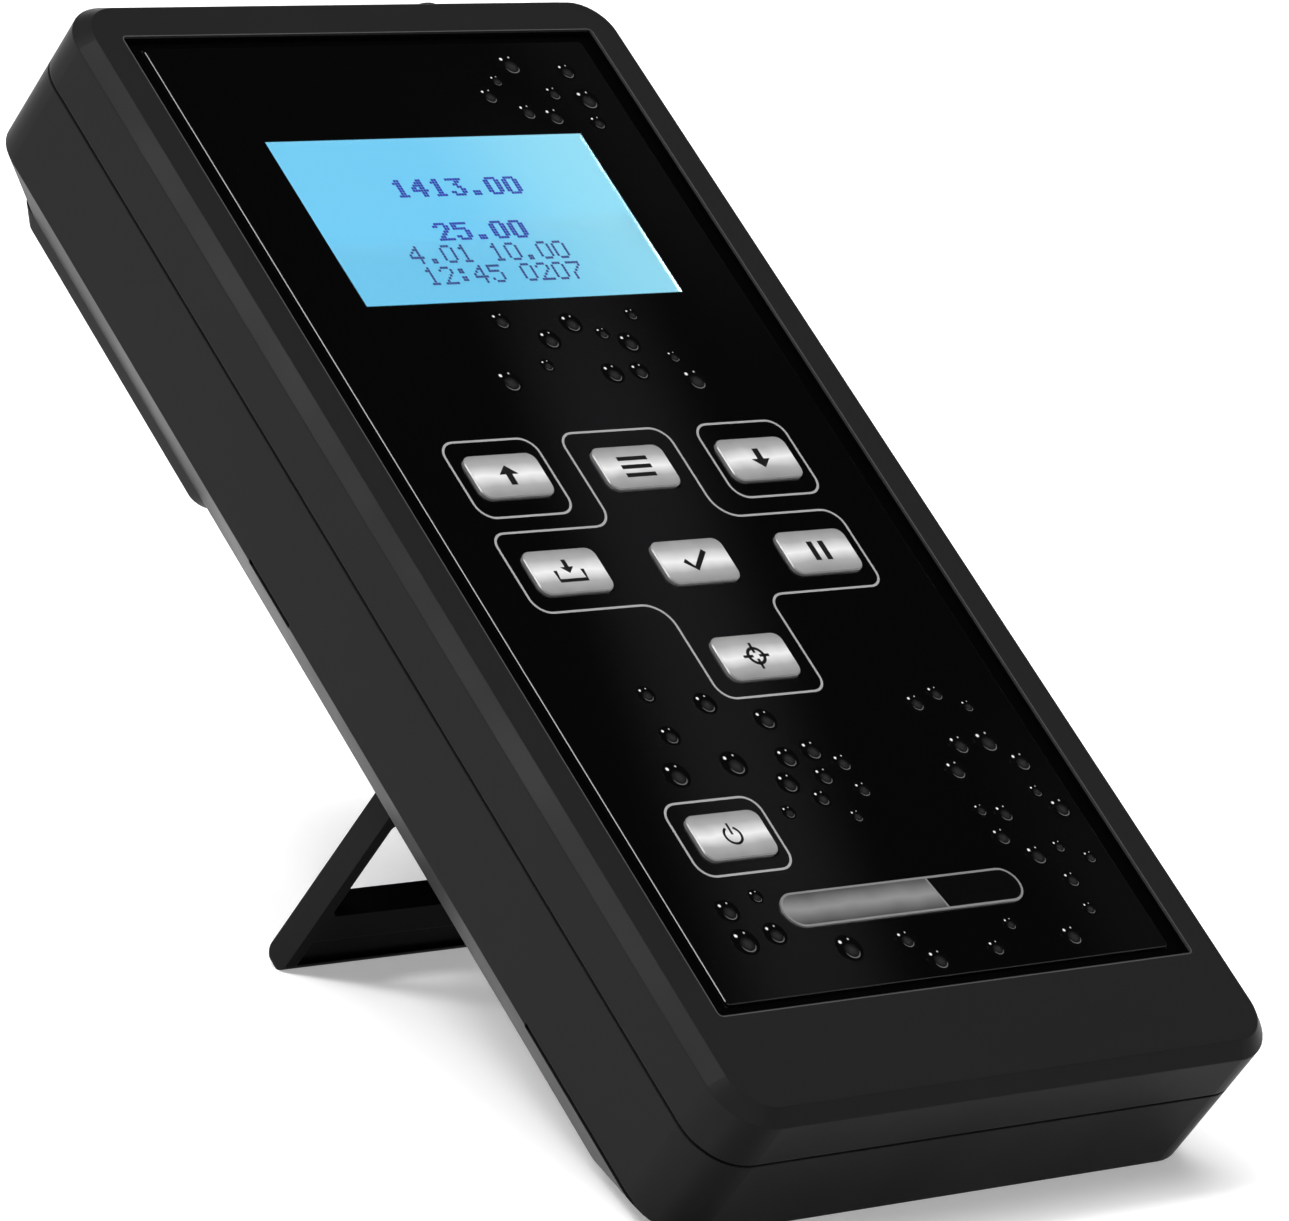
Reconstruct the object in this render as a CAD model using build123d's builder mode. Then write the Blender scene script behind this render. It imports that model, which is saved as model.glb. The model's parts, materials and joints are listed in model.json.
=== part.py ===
from build123d import *
from math import asin, atan2, cos, hypot, sin
import os

# Portable multiparameter meter, standing on its folded-out rear support.
# Lengths are millimetres. Depths are measured from the front face of the case toward the rear.

# Case outline
case_width = 100.0
case_length = 200.0
corner_radius = 8.0
front_chamfer = 2.0
wall = 2.2
side_depth = 24.4
rear_depth = 31.4
side_slope = 5.2
bottom_slope = 14.0
top_slope = 7.6
rear_corner_radius = 5.0

# Battery pod behind the display
pod_height = 2.2
pod_margin = 10.2
pod_step = 2.1
pod_end_slope = 2.3
pod_side_step = 0.44
pod_corner_radius = 3.0
pod_side_wall = 4.4
pod_end_wall = 5.5

# Joint between the shells
joint_depth = 9.8
seal_thickness = 0.5
seal_width = 0.85
seal_setback = 0.35
tongue_height = 1.7
tongue_clearance = 0.1

# Front recess and panel
recess_side_rim = 7.0
recess_top_rim = 7.8
recess_bottom = 17.2
recess_depth = 1.0
recess_floor = 2.0
recess_edge = 0.2
fascia_thickness = 0.5
fascia_corner_radius = 0.6
fascia_edge = 0.12
side_moat = 2.6
end_moat = 1.7
badge_width = 43.3
badge_height = 5.7
badge_thickness = 0.3
badge_x = -0.6
badge_y = 32.1

# Display
display_width = 58.0
display_height = 31.2
display_drop = 43.5
window_clearance = 0.1
lcd_width = 64.0
lcd_height = 39.0
lcd_thickness = 1.8
backlight_thickness = 4.0
lcd_clearance = 0.5
lcd_frame_wall = 1.5
lcd_frame_height = 4.2
pin_count = 20
pin_pitch = 2.54
pin_side = 0.5
pin_row_inset = 1.5
foam_width = 6.0
foam_length = 50.0

# Keys
key_width = 12.9
key_height = 7.7
key_radius = 1.6
key_clearance = 0.2
key_flange = 1.0
key_flange_thickness = 1.0
key_flange_gap = 0.05
key_travel = 0.4
key_stop_gap = 0.1
key_edge = 0.15
stem_radius = 1.6
stem_gap = 0.3
stem_engagement = 1.3
key_pitch = 23.0
row_pitch = 17.3
key_drop = 64.9
power_row_y = 45.2

# Circuit board
board_depth = 9.4
board_thickness = 1.6
board_side_gap = 1.8
board_bottom = 8.0
board_top_gap = 10.0
board_notch = 11.0
board_hole_radius = 1.2
switch_side = 6.0
switch_height = 3.5
board_screw_radius = 1.0
board_boss_radius = 2.75
board_head_radius = 1.9
board_head_height = 1.4
board_screw_length = 6.0
board_screw_inset = 8.0
board_screw_rows = (35.0, 120.0)
top_screw_drop = 13.5
top_screw_gap = 8.5
screw_play = 0.02
screw_tip_gap = 0.5

# Case screws
case_screw_inset = 10.0
case_screw_low = 21.0
case_screw_drop = 17.0
case_screw_radius = 1.5
case_head_radius = 2.8
case_drive_radius = 0.84
case_head_height = 2.2
case_boss_radius = 4.25
counterbore_radius = 3.1
screw_shelf = 6.0
screw_bite = 4.6

# Rear support
stand_margin = 16.0
stand_thickness = 4.4
stand_reach = 48.2
stand_side_gap = 0.5
stand_window_top = 12.8
stand_window_height = 19.9
stand_leg = 2.0
stand_window_radius = 1.2
stand_corner_radius = 0.4
grip_inset = 5.6
grip_depth = 0.6
hinge_y = 86.8
hinge_depth = 28.8
hinge_pin_radius = 1.0
hinge_play = 0.08
hinge_gap = 0.4
hinge_wall = 3.0
pin_seat = 2.5
stop_gap = 0.3
recess_end_gap = 1.0
finger_notch_radius = 9.0

# Battery and its door
battery_length = 46.0
battery_width = 26.0
battery_thickness = 17.2
battery_gap = 0.3
terminal_height = 2.4
small_terminal_radius = 2.8
large_terminal_radius = 4.0
terminal_pitch = 12.7
terminal_gap = 0.4
contact_block_length = 8.1
battery_corner_radius = 2.0
bay_drop = 58.0
bay_side_gap = 0.8
bay_wall = 1.6
bay_floor = 1.5
bay_floor_gap = 1.0
strip_width = 2.5
strip_thickness = 0.4
strip_gap = 0.2
strip_inset = 2.0
strip_reach = 9.0
door_thickness = 2.4
door_lip = 1.0
door_tongue = 1.6
door_tongue_thickness = 1.2
door_side_gap = 0.2
door_seat_gap = 0.1
door_margin = 1.1
door_frame = 2.6
door_frame_end = 6.6
door_ledge = 1.7
grip_groove_count = 5
grip_groove_pitch = 3.0
grip_groove_width = 1.4
grip_groove_depth = 0.5
grip_groove_length = 26.0
grip_groove_setback = 6.0

# Sockets in the top end
socket_depth = 17.2
bnc_setback = 10.0
bnc_reach = 10.4
bnc_barrel_radius = 4.8
bnc_bore_radius = 4.1
bnc_thread_radius = 4.6
bnc_flange_radius = 6.6
bnc_flange_thickness = 1.6
bnc_lug_radius = 0.9
bnc_lug_height = 0.8
bnc_lug_setback = 5.2
bnc_tail = 7.0
bnc_insulator_radius = 2.4
bnc_insulator_reach = 6.2
bnc_contact_radius = 0.7
bnc_contact_reach = 5.2
bnc_contact_tail = 2.0
bnc_nut_thickness = 2.4
bnc_hole_play = 0.1
din_setback = 12.0
din_pitch = 20.0
din_ring_radius = 4.6
din_ring_wall = 0.5
din_hole_play = 0.4
din_body_side = 12.0
din_body_length = 13.0
din_pin_radius = 0.6
din_pin_circle = 2.4
din_pin_count = 6
din_pin_start = 30.0
din_face_inset = 0.44
jack_bore_radius = 1.85
jack_collar_radius = 3.0
jack_collar_reach = 1.2
jack_collar_play = 0.1
jack_body_side = 7.5
jack_body_length = 12.0
jack_back_wall = 1.0
jack_nut_radius = 4.2
jack_nut_thickness = 1.2

# Parts on the rear of the board, placed from the middle key row
chip_sites = (
    (0.0, 20.4, 14.0, 14.0, 1.4),
    (-20.0, 20.4, 10.0, 6.0, 1.6),
    (20.0, 20.4, 10.0, 6.0, 1.6),
    (0.0, -17.6, 9.0, 9.0, 1.0),
    (22.0, -31.6, 6.5, 5.0, 1.5),
)
shield_width = 24.0
shield_length = 10.0
shield_height = 4.0
shield_x = 22.0
shield_rise = 0.4
shield_wall = 0.4
capacitor_radius = 3.1
capacitor_height = 7.0
capacitor_gap = 1.4
capacitor_drops = (54.0, 45.0, 36.0)
buzzer_radius = 6.0
buzzer_height = 5.5
buzzer_hole_radius = 1.0
buzzer_site = (-24.0, 60.0)

# Rubber feet
foot_radius = 5.0
foot_seat = 0.5
foot_edge = 0.8
foot_inset = 23.0
foot_y = 25.5

# Grooves along the rear edge of the side walls
groove_width = 0.9
groove_cut = 0.8
groove_spans = ((3.5, 36.0), (105.0, 117.0))

# Sizes that follow from the ones above
pod_depth = rear_depth + pod_height
slope_depth = rear_depth - side_depth
half_case = case_width / 2
pod_half = half_case - side_slope
pod_top = case_length - top_slope
bay_bottom = case_length - bay_drop
pod_start = bay_bottom - pod_margin
recess_width = case_width - 2 * recess_side_rim
recess_length = case_length - recess_bottom - recess_top_rim
shell_front = recess_depth + recess_floor
front_rim = joint_depth - seal_thickness / 2
rear_rim = joint_depth + seal_thickness / 2
board_rear = board_depth + board_thickness
recess_middle = recess_bottom + recess_length / 2
display_y = case_length - display_drop
middle_row_y = display_y - key_drop
board_half = half_case - wall - board_side_gap
board_top = case_length - board_top_gap
board_screw_x = board_half - board_screw_inset
case_screw_x = half_case - case_screw_inset
case_screw_rows = (case_screw_low, case_length - case_screw_drop)
bnc_x = case_screw_x - bnc_setback
din_xs = (din_setback - case_screw_x, din_setback - case_screw_x + din_pitch)
jack_x = (bnc_x + din_xs[1]) / 2
top_screw_xs = (sum(din_xs) / 2, jack_x + top_screw_gap)
stand_half_width = half_case - stand_margin
foot_sites = [(hand * (half_case - foot_inset), foot_y) for hand in (-1, 1)]
stand_tip_radius = stand_thickness / 2
stand_tip_depth = hinge_depth + stand_reach - stand_tip_radius
stand_pocket_depth = hinge_depth - stand_tip_radius - hinge_gap
stand_pocket_top = hinge_y + stand_tip_radius + stop_gap
stand_pocket_bottom = hinge_y - stand_reach - recess_end_gap
stand_pocket_half = stand_half_width + stand_side_gap
bay_length = battery_length + contact_block_length + 3 * battery_gap
bay_half = bay_length / 2
bay_top = bay_bottom + battery_width + 2 * bay_side_gap
bay_middle = (bay_bottom + bay_top) / 2
bay_roof = board_rear + bay_floor_gap
bay_depth = bay_roof + bay_floor
battery_depth = bay_depth + battery_gap
battery_left = -bay_half + battery_gap
block_left = battery_left + battery_length + battery_gap
door_depth = pod_depth - door_thickness
door_half = bay_half + door_margin
door_tongue_half = door_half + door_tongue
door_bottom = bay_bottom - bay_side_gap - door_margin

keys = {
    "key_up": (-key_pitch, middle_row_y + row_pitch),
    "key_mode": (0.0, middle_row_y + row_pitch),
    "key_down": (key_pitch, middle_row_y + row_pitch),
    "key_store": (-key_pitch, middle_row_y),
    "key_ok": (0.0, middle_row_y),
    "key_hold": (key_pitch, middle_row_y),
    "key_cal": (0.0, middle_row_y - row_pitch),
    "key_power": (-key_pitch, power_row_y),
}

# The case leans so that its bottom rear edge and the round foot of the support share one ground plane.
foot_distance = hypot(hinge_y, stand_tip_depth - side_depth)
lean = atan2(stand_tip_depth - side_depth, hinge_y) + asin(stand_tip_radius / foot_distance)
lean_cos = cos(lean)
lean_sin = sin(lean)
nearest_y = front_chamfer * lean_sin
farthest_y = (case_length + bnc_reach) * lean_cos + (socket_depth + bnc_barrel_radius) * lean_sin

# Three planes of the leaning case: x and y on the face, y and depth on the side, x and depth on the end
face = Plane(
    origin=(0, -(nearest_y + farthest_y) / 2, side_depth * lean_cos),
    x_dir=(1, 0, 0),
    z_dir=(0, -lean_sin, lean_cos),
)
side = Plane(origin=face.origin, x_dir=face.y_dir, z_dir=face.x_dir)
end = Plane(origin=face.origin, x_dir=face.x_dir, z_dir=face.y_dir)
toward_front = Axis(face.origin, face.z_dir)


def level(depth):
    """Plane parallel to the front face at this depth, its normal toward the front."""
    return face.offset(-depth)


def block(depth, far_depth, size, centre, radius=0.0, mode=Mode.ADD):
    """Extrude a rectangle, rounded if a radius is given, between two depths."""
    with BuildSketch(level(depth)) as plan:
        with Locations(centre):
            if radius > 0:
                RectangleRounded(size[0], size[1], radius)
            else:
                Rectangle(size[0], size[1])
    extrude(plan.sketch, amount=-(far_depth - depth), mode=mode)


def rod(depth, far_depth, radius, centres, mode=Mode.ADD):
    """Extrude round bars or holes between two depths."""
    with BuildSketch(level(depth)) as plan:
        with Locations(*centres):
            Circle(radius)
    extrude(plan.sketch, amount=-(far_depth - depth), mode=mode)


def outline(depth, inset=0.0):
    """Plan of the case walls on the plane at this depth, moved in by an inset."""
    with BuildSketch(level(depth)) as plan:
        with Locations((0, case_length / 2)):
            RectangleRounded(
                case_width - 2 * inset, case_length - 2 * inset, corner_radius - inset
            )
    return plan.sketch


def ring(depth, far_depth, outer_inset, inner_inset, mode=Mode.ADD):
    """Band that follows the case walls between two insets and two depths."""
    band = outline(depth, outer_inset) - outline(depth, inner_inset)
    extrude(band, amount=-(far_depth - depth), mode=mode)


def slope_section(depth, inset, radius):
    """Plan of the sloped back at this depth, its walls thinned inward by an inset."""
    share = (depth - side_depth) / slope_depth
    side_wall = inset * hypot(side_slope, slope_depth) / slope_depth
    bottom_wall = inset * hypot(bottom_slope, slope_depth) / slope_depth
    top_wall = inset * hypot(top_slope, slope_depth) / slope_depth
    half = half_case - side_slope * share - side_wall
    low = bottom_slope * share + bottom_wall
    high = case_length - top_slope * share - top_wall
    with BuildSketch(level(depth)) as plan:
        with Locations((0, (low + high) / 2)):
            RectangleRounded(2 * half, high - low, radius)
    return plan.sketch


def finish(piece, name):
    """Label a finished piece and write its STEP file."""
    piece.part.label = name
    export_step(piece.part, f"parts/{name}.step")


os.makedirs("parts", exist_ok=True)

case_screw_sites = [(x, y) for x in (-case_screw_x, case_screw_x) for y in case_screw_rows]
board_screw_sites = [(x, y) for x in (-board_screw_x, board_screw_x) for y in board_screw_rows]
board_screw_sites += [(x, case_length - top_screw_drop) for x in top_screw_xs]
key_sites = list(keys.values())

# Front shell: chamfered tray with the panel recess, the key and display openings, ribs and bosses
with BuildPart() as front_shell:
    extrude(outline(0), amount=-front_rim)
    front_edges = front_shell.faces().sort_by(toward_front)[-1].edges()
    chamfer(front_edges, front_chamfer)
    extrude(outline(shell_front, wall), amount=-(front_rim - shell_front), mode=Mode.SUBTRACT)
    tongue_top = rear_rim - tongue_height
    tongue_inset = seal_setback + seal_width
    ring(tongue_top - tongue_clearance, front_rim, tongue_inset, wall, mode=Mode.SUBTRACT)
    frame_size = (lcd_width + 2 * lcd_clearance, lcd_height + 2 * lcd_clearance)
    frame_outer = (frame_size[0] + 2 * lcd_frame_wall, frame_size[1] + 2 * lcd_frame_wall)
    block(shell_front, shell_front + lcd_frame_height, frame_outer, (0, display_y))
    rod(shell_front, front_rim, case_boss_radius, case_screw_sites)
    rod(shell_front, board_depth, board_boss_radius, board_screw_sites)
    block(0, recess_depth, (recess_width, recess_length), (0, recess_middle), mode=Mode.SUBTRACT)
    block(
        recess_depth, shell_front + lcd_frame_height, frame_size, (0, display_y), mode=Mode.SUBTRACT
    )
    with BuildSketch(level(recess_depth)):
        with Locations(*key_sites):
            RectangleRounded(
                key_width + 2 * key_clearance,
                key_height + 2 * key_clearance,
                key_radius + key_clearance,
            )
    extrude(amount=-recess_floor, mode=Mode.SUBTRACT)
    rod(front_rim - screw_bite - screw_tip_gap, front_rim, case_screw_radius + screw_play, case_screw_sites,
        mode=Mode.SUBTRACT)
    rod(board_rear - board_screw_length - screw_tip_gap, board_depth,
        board_screw_radius + screw_play, board_screw_sites, mode=Mode.SUBTRACT)
    rim_edges = front_shell.faces().sort_by(toward_front)[-1].inner_wires()[0].edges()
    chamfer(rim_edges, recess_edge)
finish(front_shell, "front_shell")

# Rear shell: sloped back, battery pod, support pocket, battery bay, door track and screw columns
rear_inner = rear_depth - wall
pod_inner = pod_depth - wall
bay_size = (bay_length, bay_top - bay_bottom)
with BuildPart() as rear_shell:
    extrude(outline(rear_rim), amount=-(side_depth - rear_rim))
    rear_face = slope_section(rear_depth, 0, rear_corner_radius)
    loft([outline(side_depth).face(), rear_face.face()], ruled=True)
    with BuildSketch(level(rear_depth)):
        with Locations((0, (pod_start + pod_top) / 2)):
            RectangleRounded(2 * pod_half, pod_top - pod_start, pod_corner_radius)
    with BuildSketch(level(pod_depth)):
        with Locations((0, (pod_start + pod_step + pod_top - pod_end_slope) / 2)):
            RectangleRounded(
                2 * (pod_half - pod_side_step),
                pod_top - pod_end_slope - pod_start - pod_step,
                pod_corner_radius,
            )
    loft(ruled=True)
    extrude(outline(rear_rim, wall), amount=-(side_depth - rear_rim), mode=Mode.SUBTRACT)
    inner_face = slope_section(rear_inner, wall, rear_corner_radius)
    loft([outline(side_depth, wall).face(), inner_face.face()], ruled=True, mode=Mode.SUBTRACT)
    block(
        rear_inner,
        pod_inner,
        (2 * (pod_half - pod_side_wall), pod_top - pod_start - 2 * pod_end_wall),
        (0, (pod_start + pod_top) / 2),
        pod_corner_radius,
        mode=Mode.SUBTRACT,
    )
    ring(tongue_top, rear_rim + wall, tongue_inset + tongue_clearance, wall)
    pocket_wall_half = stand_pocket_half + hinge_wall
    pocket_height = stand_pocket_top - stand_pocket_bottom + 2 * wall
    pocket_middle = (stand_pocket_top + stand_pocket_bottom) / 2
    block(
        stand_pocket_depth - wall,
        rear_inner,
        (2 * pocket_wall_half, pocket_height),
        (0, pocket_middle),
    )
    rod(stand_pocket_depth - wall, rear_inner, finger_notch_radius + wall, [(0, stand_pocket_bottom)])
    block(
        bay_roof,
        pod_inner,
        (bay_length + 2 * bay_wall, bay_size[1] + 2 * bay_wall),
        (0, bay_middle),
    )
    frame_low = door_bottom - door_frame
    frame_high = pod_top - door_frame_end
    block(
        door_depth - door_seat_gap - door_ledge,
        pod_inner,
        (2 * (door_tongue_half + door_frame), frame_high - frame_low),
        (0, (frame_low + frame_high) / 2),
    )
    rod(front_rim, rear_inner, case_boss_radius, case_screw_sites)
    pod_screw_sites = [site for site in case_screw_sites if site[1] > pod_start]
    rod(rear_inner, pod_inner, case_boss_radius, pod_screw_sites)
    block(
        stand_pocket_depth,
        rear_depth,
        (2 * stand_pocket_half, stand_pocket_top - stand_pocket_bottom),
        (0, pocket_middle),
        mode=Mode.SUBTRACT,
    )
    rod(
        stand_pocket_depth,
        rear_depth,
        finger_notch_radius,
        [(0, stand_pocket_bottom)],
        mode=Mode.SUBTRACT,
    )
    with BuildSketch(side.offset(-stand_pocket_half - pin_seat)):
        with Locations((hinge_y, -hinge_depth)):
            Circle(hinge_pin_radius + screw_play)
    extrude(amount=2 * (stand_pocket_half + pin_seat), mode=Mode.SUBTRACT)
    block(bay_depth, pod_depth, bay_size, (0, bay_middle), mode=Mode.SUBTRACT)
    track_size = case_length - door_bottom + door_side_gap
    track_middle = door_bottom - door_side_gap + track_size / 2
    block(
        door_depth - door_seat_gap,
        pod_depth - door_lip,
        (2 * (door_tongue_half + door_side_gap), track_size),
        (0, track_middle),
        mode=Mode.SUBTRACT,
    )
    block(
        door_depth - door_seat_gap,
        pod_depth,
        (2 * (door_half + door_side_gap), track_size),
        (0, track_middle),
        mode=Mode.SUBTRACT,
    )
    rod(rear_rim + screw_shelf, pod_depth, counterbore_radius, case_screw_sites, mode=Mode.SUBTRACT)
    rod(front_rim, pod_depth, case_screw_radius + screw_play, case_screw_sites, mode=Mode.SUBTRACT)
    rod(rear_depth - foot_seat, rear_depth, foot_radius, foot_sites, mode=Mode.SUBTRACT)
    strip_x = block_left + contact_block_length - strip_inset
    strip_sites = [(strip_x, bay_middle + s * terminal_pitch / 2) for s in (-1, 1)]
    with BuildSketch(level(bay_roof)):
        with Locations(*strip_sites):
            Rectangle(strip_thickness + 2 * strip_gap, strip_width + 2 * strip_gap)
    extrude(amount=-bay_floor, mode=Mode.SUBTRACT)
    with BuildSketch(end.offset(case_length - 2 * wall)):
        with Locations((bnc_x, socket_depth)):
            Circle(bnc_thread_radius + bnc_hole_play)
        with Locations(*[(x, socket_depth) for x in din_xs]):
            Circle(din_ring_radius + din_hole_play)
        with Locations((jack_x, socket_depth)):
            Circle(jack_collar_radius + jack_collar_play)
    extrude(amount=2 * wall, mode=Mode.SUBTRACT)
    for hand in (-1, 1):
        for low, high in groove_spans:
            with BuildSketch(level(side_depth - groove_width / 2)):
                with Locations((hand * (half_case - groove_cut / 2), (low + high) / 2)):
                    Rectangle(groove_cut, high - low)
            extrude(amount=-groove_width, mode=Mode.SUBTRACT)
finish(rear_shell, "rear_shell")

# Sealing cord between the shells
with BuildPart() as case_seal:
    ring(front_rim, rear_rim, seal_setback, seal_setback + seal_width)
finish(case_seal, "case_seal")

# Front panel with its display and key openings
fascia_size = (recess_width - 2 * side_moat, recess_length - 2 * end_moat)
with BuildPart() as fascia:
    fascia_depth = recess_depth - fascia_thickness
    fascia_centre = (0, recess_middle)
    block(fascia_depth, recess_depth, fascia_size, fascia_centre, fascia_corner_radius)
    panel_edges = fascia.faces().sort_by(toward_front)[-1].edges()
    chamfer(panel_edges, fascia_edge)
    block(
        recess_depth - fascia_thickness,
        recess_depth,
        (display_width + 2 * window_clearance, display_height + 2 * window_clearance),
        (0, display_y),
        mode=Mode.SUBTRACT,
    )
    with BuildSketch(level(recess_depth)):
        with Locations(*key_sites):
            RectangleRounded(
                key_width + 2 * key_clearance,
                key_height + 2 * key_clearance,
                key_radius + key_clearance,
            )
    extrude(amount=fascia_thickness, mode=Mode.SUBTRACT)
finish(fascia, "fascia")

with BuildPart() as display_window:
    block(
        recess_depth - fascia_thickness,
        recess_depth,
        (display_width, display_height),
        (0, display_y),
    )
finish(display_window, "display_window")

with BuildPart() as badge_plate:
    badge_depth = recess_depth - fascia_thickness
    with BuildSketch(level(badge_depth)):
        with Locations((badge_x, badge_y)):
            SlotOverall(badge_width, badge_height)
    extrude(amount=badge_thickness)
finish(badge_plate, "badge_plate")

# Display module: glass, light guide, its pins and the foam behind it
with BuildPart() as lcd_glass:
    block(recess_depth, recess_depth + lcd_thickness, (lcd_width, lcd_height), (0, display_y))
finish(lcd_glass, "lcd_glass")

backlight_depth = recess_depth + lcd_thickness
backlight_rear = backlight_depth + backlight_thickness
with BuildPart() as lcd_backlight:
    block(backlight_depth, backlight_rear, (lcd_width, lcd_height), (0, display_y), 0.8)
finish(lcd_backlight, "lcd_backlight")

with BuildPart() as lcd_pins:
    with BuildSketch(level(backlight_rear)):
        with Locations((0, display_y - lcd_height / 2 + pin_row_inset)):
            with GridLocations(pin_pitch, 1, pin_count, 1):
                Rectangle(pin_side, pin_side)
    extrude(amount=-(board_depth - backlight_rear))
finish(lcd_pins, "lcd_pins")

with BuildPart() as lcd_foam:
    with BuildSketch(level(backlight_rear)):
        with Locations((0, display_y + lcd_height / 2 - 2 * foam_width), (0, display_y)):
            Rectangle(foam_length, foam_width)
    extrude(amount=-(board_depth - backlight_rear))
finish(lcd_foam, "lcd_foam")

# Circuit board, notched round the case screws
with BuildPart() as main_board:
    block(
        board_depth,
        board_rear,
        (2 * board_half, board_top - board_bottom),
        (0, (board_top + board_bottom) / 2),
    )
    notch_half = board_half - case_screw_x + board_notch / 2
    for hand in (-1, 1):
        for row in case_screw_rows:
            with BuildSketch(level(board_depth)):
                with Locations((hand * (board_half - notch_half / 2), row)):
                    Rectangle(notch_half, board_notch)
            extrude(amount=-board_thickness, mode=Mode.SUBTRACT)
    rod(board_depth, board_rear, board_hole_radius, board_screw_sites, mode=Mode.SUBTRACT)
finish(main_board, "main_board")

# Switch housings that take the key stems
switch_top = board_depth - switch_height
stem_tip = switch_top + stem_engagement
with BuildPart() as switch_housings:
    with BuildSketch(level(switch_top)):
        with Locations(*key_sites):
            Rectangle(switch_side, switch_side)
    extrude(amount=-switch_height)
    rod(
        switch_top,
        stem_tip + key_travel + key_stop_gap,
        stem_radius + stem_gap,
        key_sites,
        mode=Mode.SUBTRACT,
    )
finish(switch_housings, "switch_housings")

# Keys: rounded cap with bevelled edges, stop flange under the shell and a stem into the switch
flange_top = shell_front + key_flange_gap
for key_name, key_site in keys.items():
    with BuildPart() as key:
        block(0, flange_top, (key_width, key_height), key_site, key_radius)
        top_edges = key.faces().sort_by(toward_front)[-1].edges()
        chamfer(top_edges, key_edge)
        block(
            flange_top,
            flange_top + key_flange_thickness,
            (key_width + 2 * key_flange, key_height + 2 * key_flange),
            key_site,
        )
        rod(flange_top + key_flange_thickness, stem_tip, stem_radius, [key_site])
    finish(key, key_name)

# Parts on the rear of the board
with BuildPart() as board_chips:
    for chip_x, chip_rise, chip_width, chip_length, chip_height in chip_sites:
        chip_centre = (chip_x, middle_row_y + chip_rise)
        block(board_rear, board_rear + chip_height, (chip_width, chip_length), chip_centre)
finish(board_chips, "board_chips")

with BuildPart() as signal_shield:
    shield_centre = (shield_x, middle_row_y + shield_rise)
    block(board_rear, board_rear + shield_height, (shield_width, shield_length), shield_centre)
    block(
        board_rear,
        board_rear + shield_height - shield_wall,
        (shield_width - 2 * shield_wall, shield_length - 2 * shield_wall),
        shield_centre,
        mode=Mode.SUBTRACT,
    )
finish(signal_shield, "signal_shield")

with BuildPart() as capacitors:
    capacitor_x = -(bay_half + bay_wall + capacitor_gap + capacitor_radius)
    capacitor_sites = [(capacitor_x, case_length - drop) for drop in capacitor_drops]
    rod(board_rear, board_rear + capacitor_height, capacitor_radius, capacitor_sites)
finish(capacitors, "capacitors")

with BuildPart() as buzzer:
    rod(board_rear, board_rear + buzzer_height, buzzer_radius, [buzzer_site])
    rod(
        board_rear + buzzer_height / 2,
        board_rear + buzzer_height,
        buzzer_hole_radius,
        [buzzer_site],
        mode=Mode.SUBTRACT,
    )
finish(buzzer, "buzzer")

# Electrode socket: bayonet barrel with two lugs, flange outside, threaded tail inside
bnc_plane = Plane(
    origin=level(socket_depth).from_local_coords((bnc_x, case_length, 0)),
    x_dir=face.x_dir,
    z_dir=face.z_dir,
)
bnc_axis = Axis(bnc_plane.origin, face.y_dir)
with BuildPart() as bnc_socket:
    with BuildSketch(bnc_plane):
        with BuildLine():
            Polyline(
                (bnc_bore_radius, bnc_reach),
                (bnc_barrel_radius, bnc_reach),
                (bnc_barrel_radius, bnc_flange_thickness),
                (bnc_flange_radius, bnc_flange_thickness),
                (bnc_flange_radius, 0),
                (bnc_thread_radius, 0),
                (bnc_thread_radius, -bnc_tail),
                (bnc_insulator_radius, -bnc_tail),
                (bnc_insulator_radius, bnc_flange_thickness),
                (bnc_bore_radius, bnc_flange_thickness),
                close=True,
            )
        make_face()
    revolve(axis=bnc_axis)
    lug_span = 2 * (bnc_barrel_radius + bnc_lug_height)
    with BuildSketch(side.offset(bnc_x - lug_span / 2)):
        with Locations((case_length + bnc_reach - bnc_lug_setback, -socket_depth)):
            Circle(bnc_lug_radius)
    extrude(amount=lug_span)
    with BuildSketch(end.offset(case_length + bnc_flange_thickness)):
        with Locations((bnc_x, socket_depth)):
            Circle(bnc_bore_radius)
    extrude(amount=bnc_reach - bnc_flange_thickness, mode=Mode.SUBTRACT)
finish(bnc_socket, "bnc_socket")

with BuildPart() as bnc_insulator:
    with BuildSketch(end.offset(case_length - bnc_tail)):
        with Locations((bnc_x, socket_depth)):
            Circle(bnc_insulator_radius)
            Circle(bnc_contact_radius, mode=Mode.SUBTRACT)
    extrude(amount=bnc_tail + bnc_insulator_reach)
finish(bnc_insulator, "bnc_insulator")

with BuildPart() as bnc_contact:
    with BuildSketch(end.offset(case_length - bnc_tail - bnc_contact_tail)):
        with Locations((bnc_x, socket_depth)):
            Circle(bnc_contact_radius)
    extrude(amount=bnc_contact_tail + bnc_tail + bnc_contact_reach)
finish(bnc_contact, "bnc_contact")

with BuildPart() as bnc_nut:
    with BuildSketch(end.offset(case_length - wall - bnc_nut_thickness)):
        with Locations((bnc_x, socket_depth)):
            RegularPolygon(bnc_flange_radius, 6)
            Circle(bnc_thread_radius, mode=Mode.SUBTRACT)
    extrude(amount=bnc_nut_thickness)
finish(bnc_nut, "bnc_nut")

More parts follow.
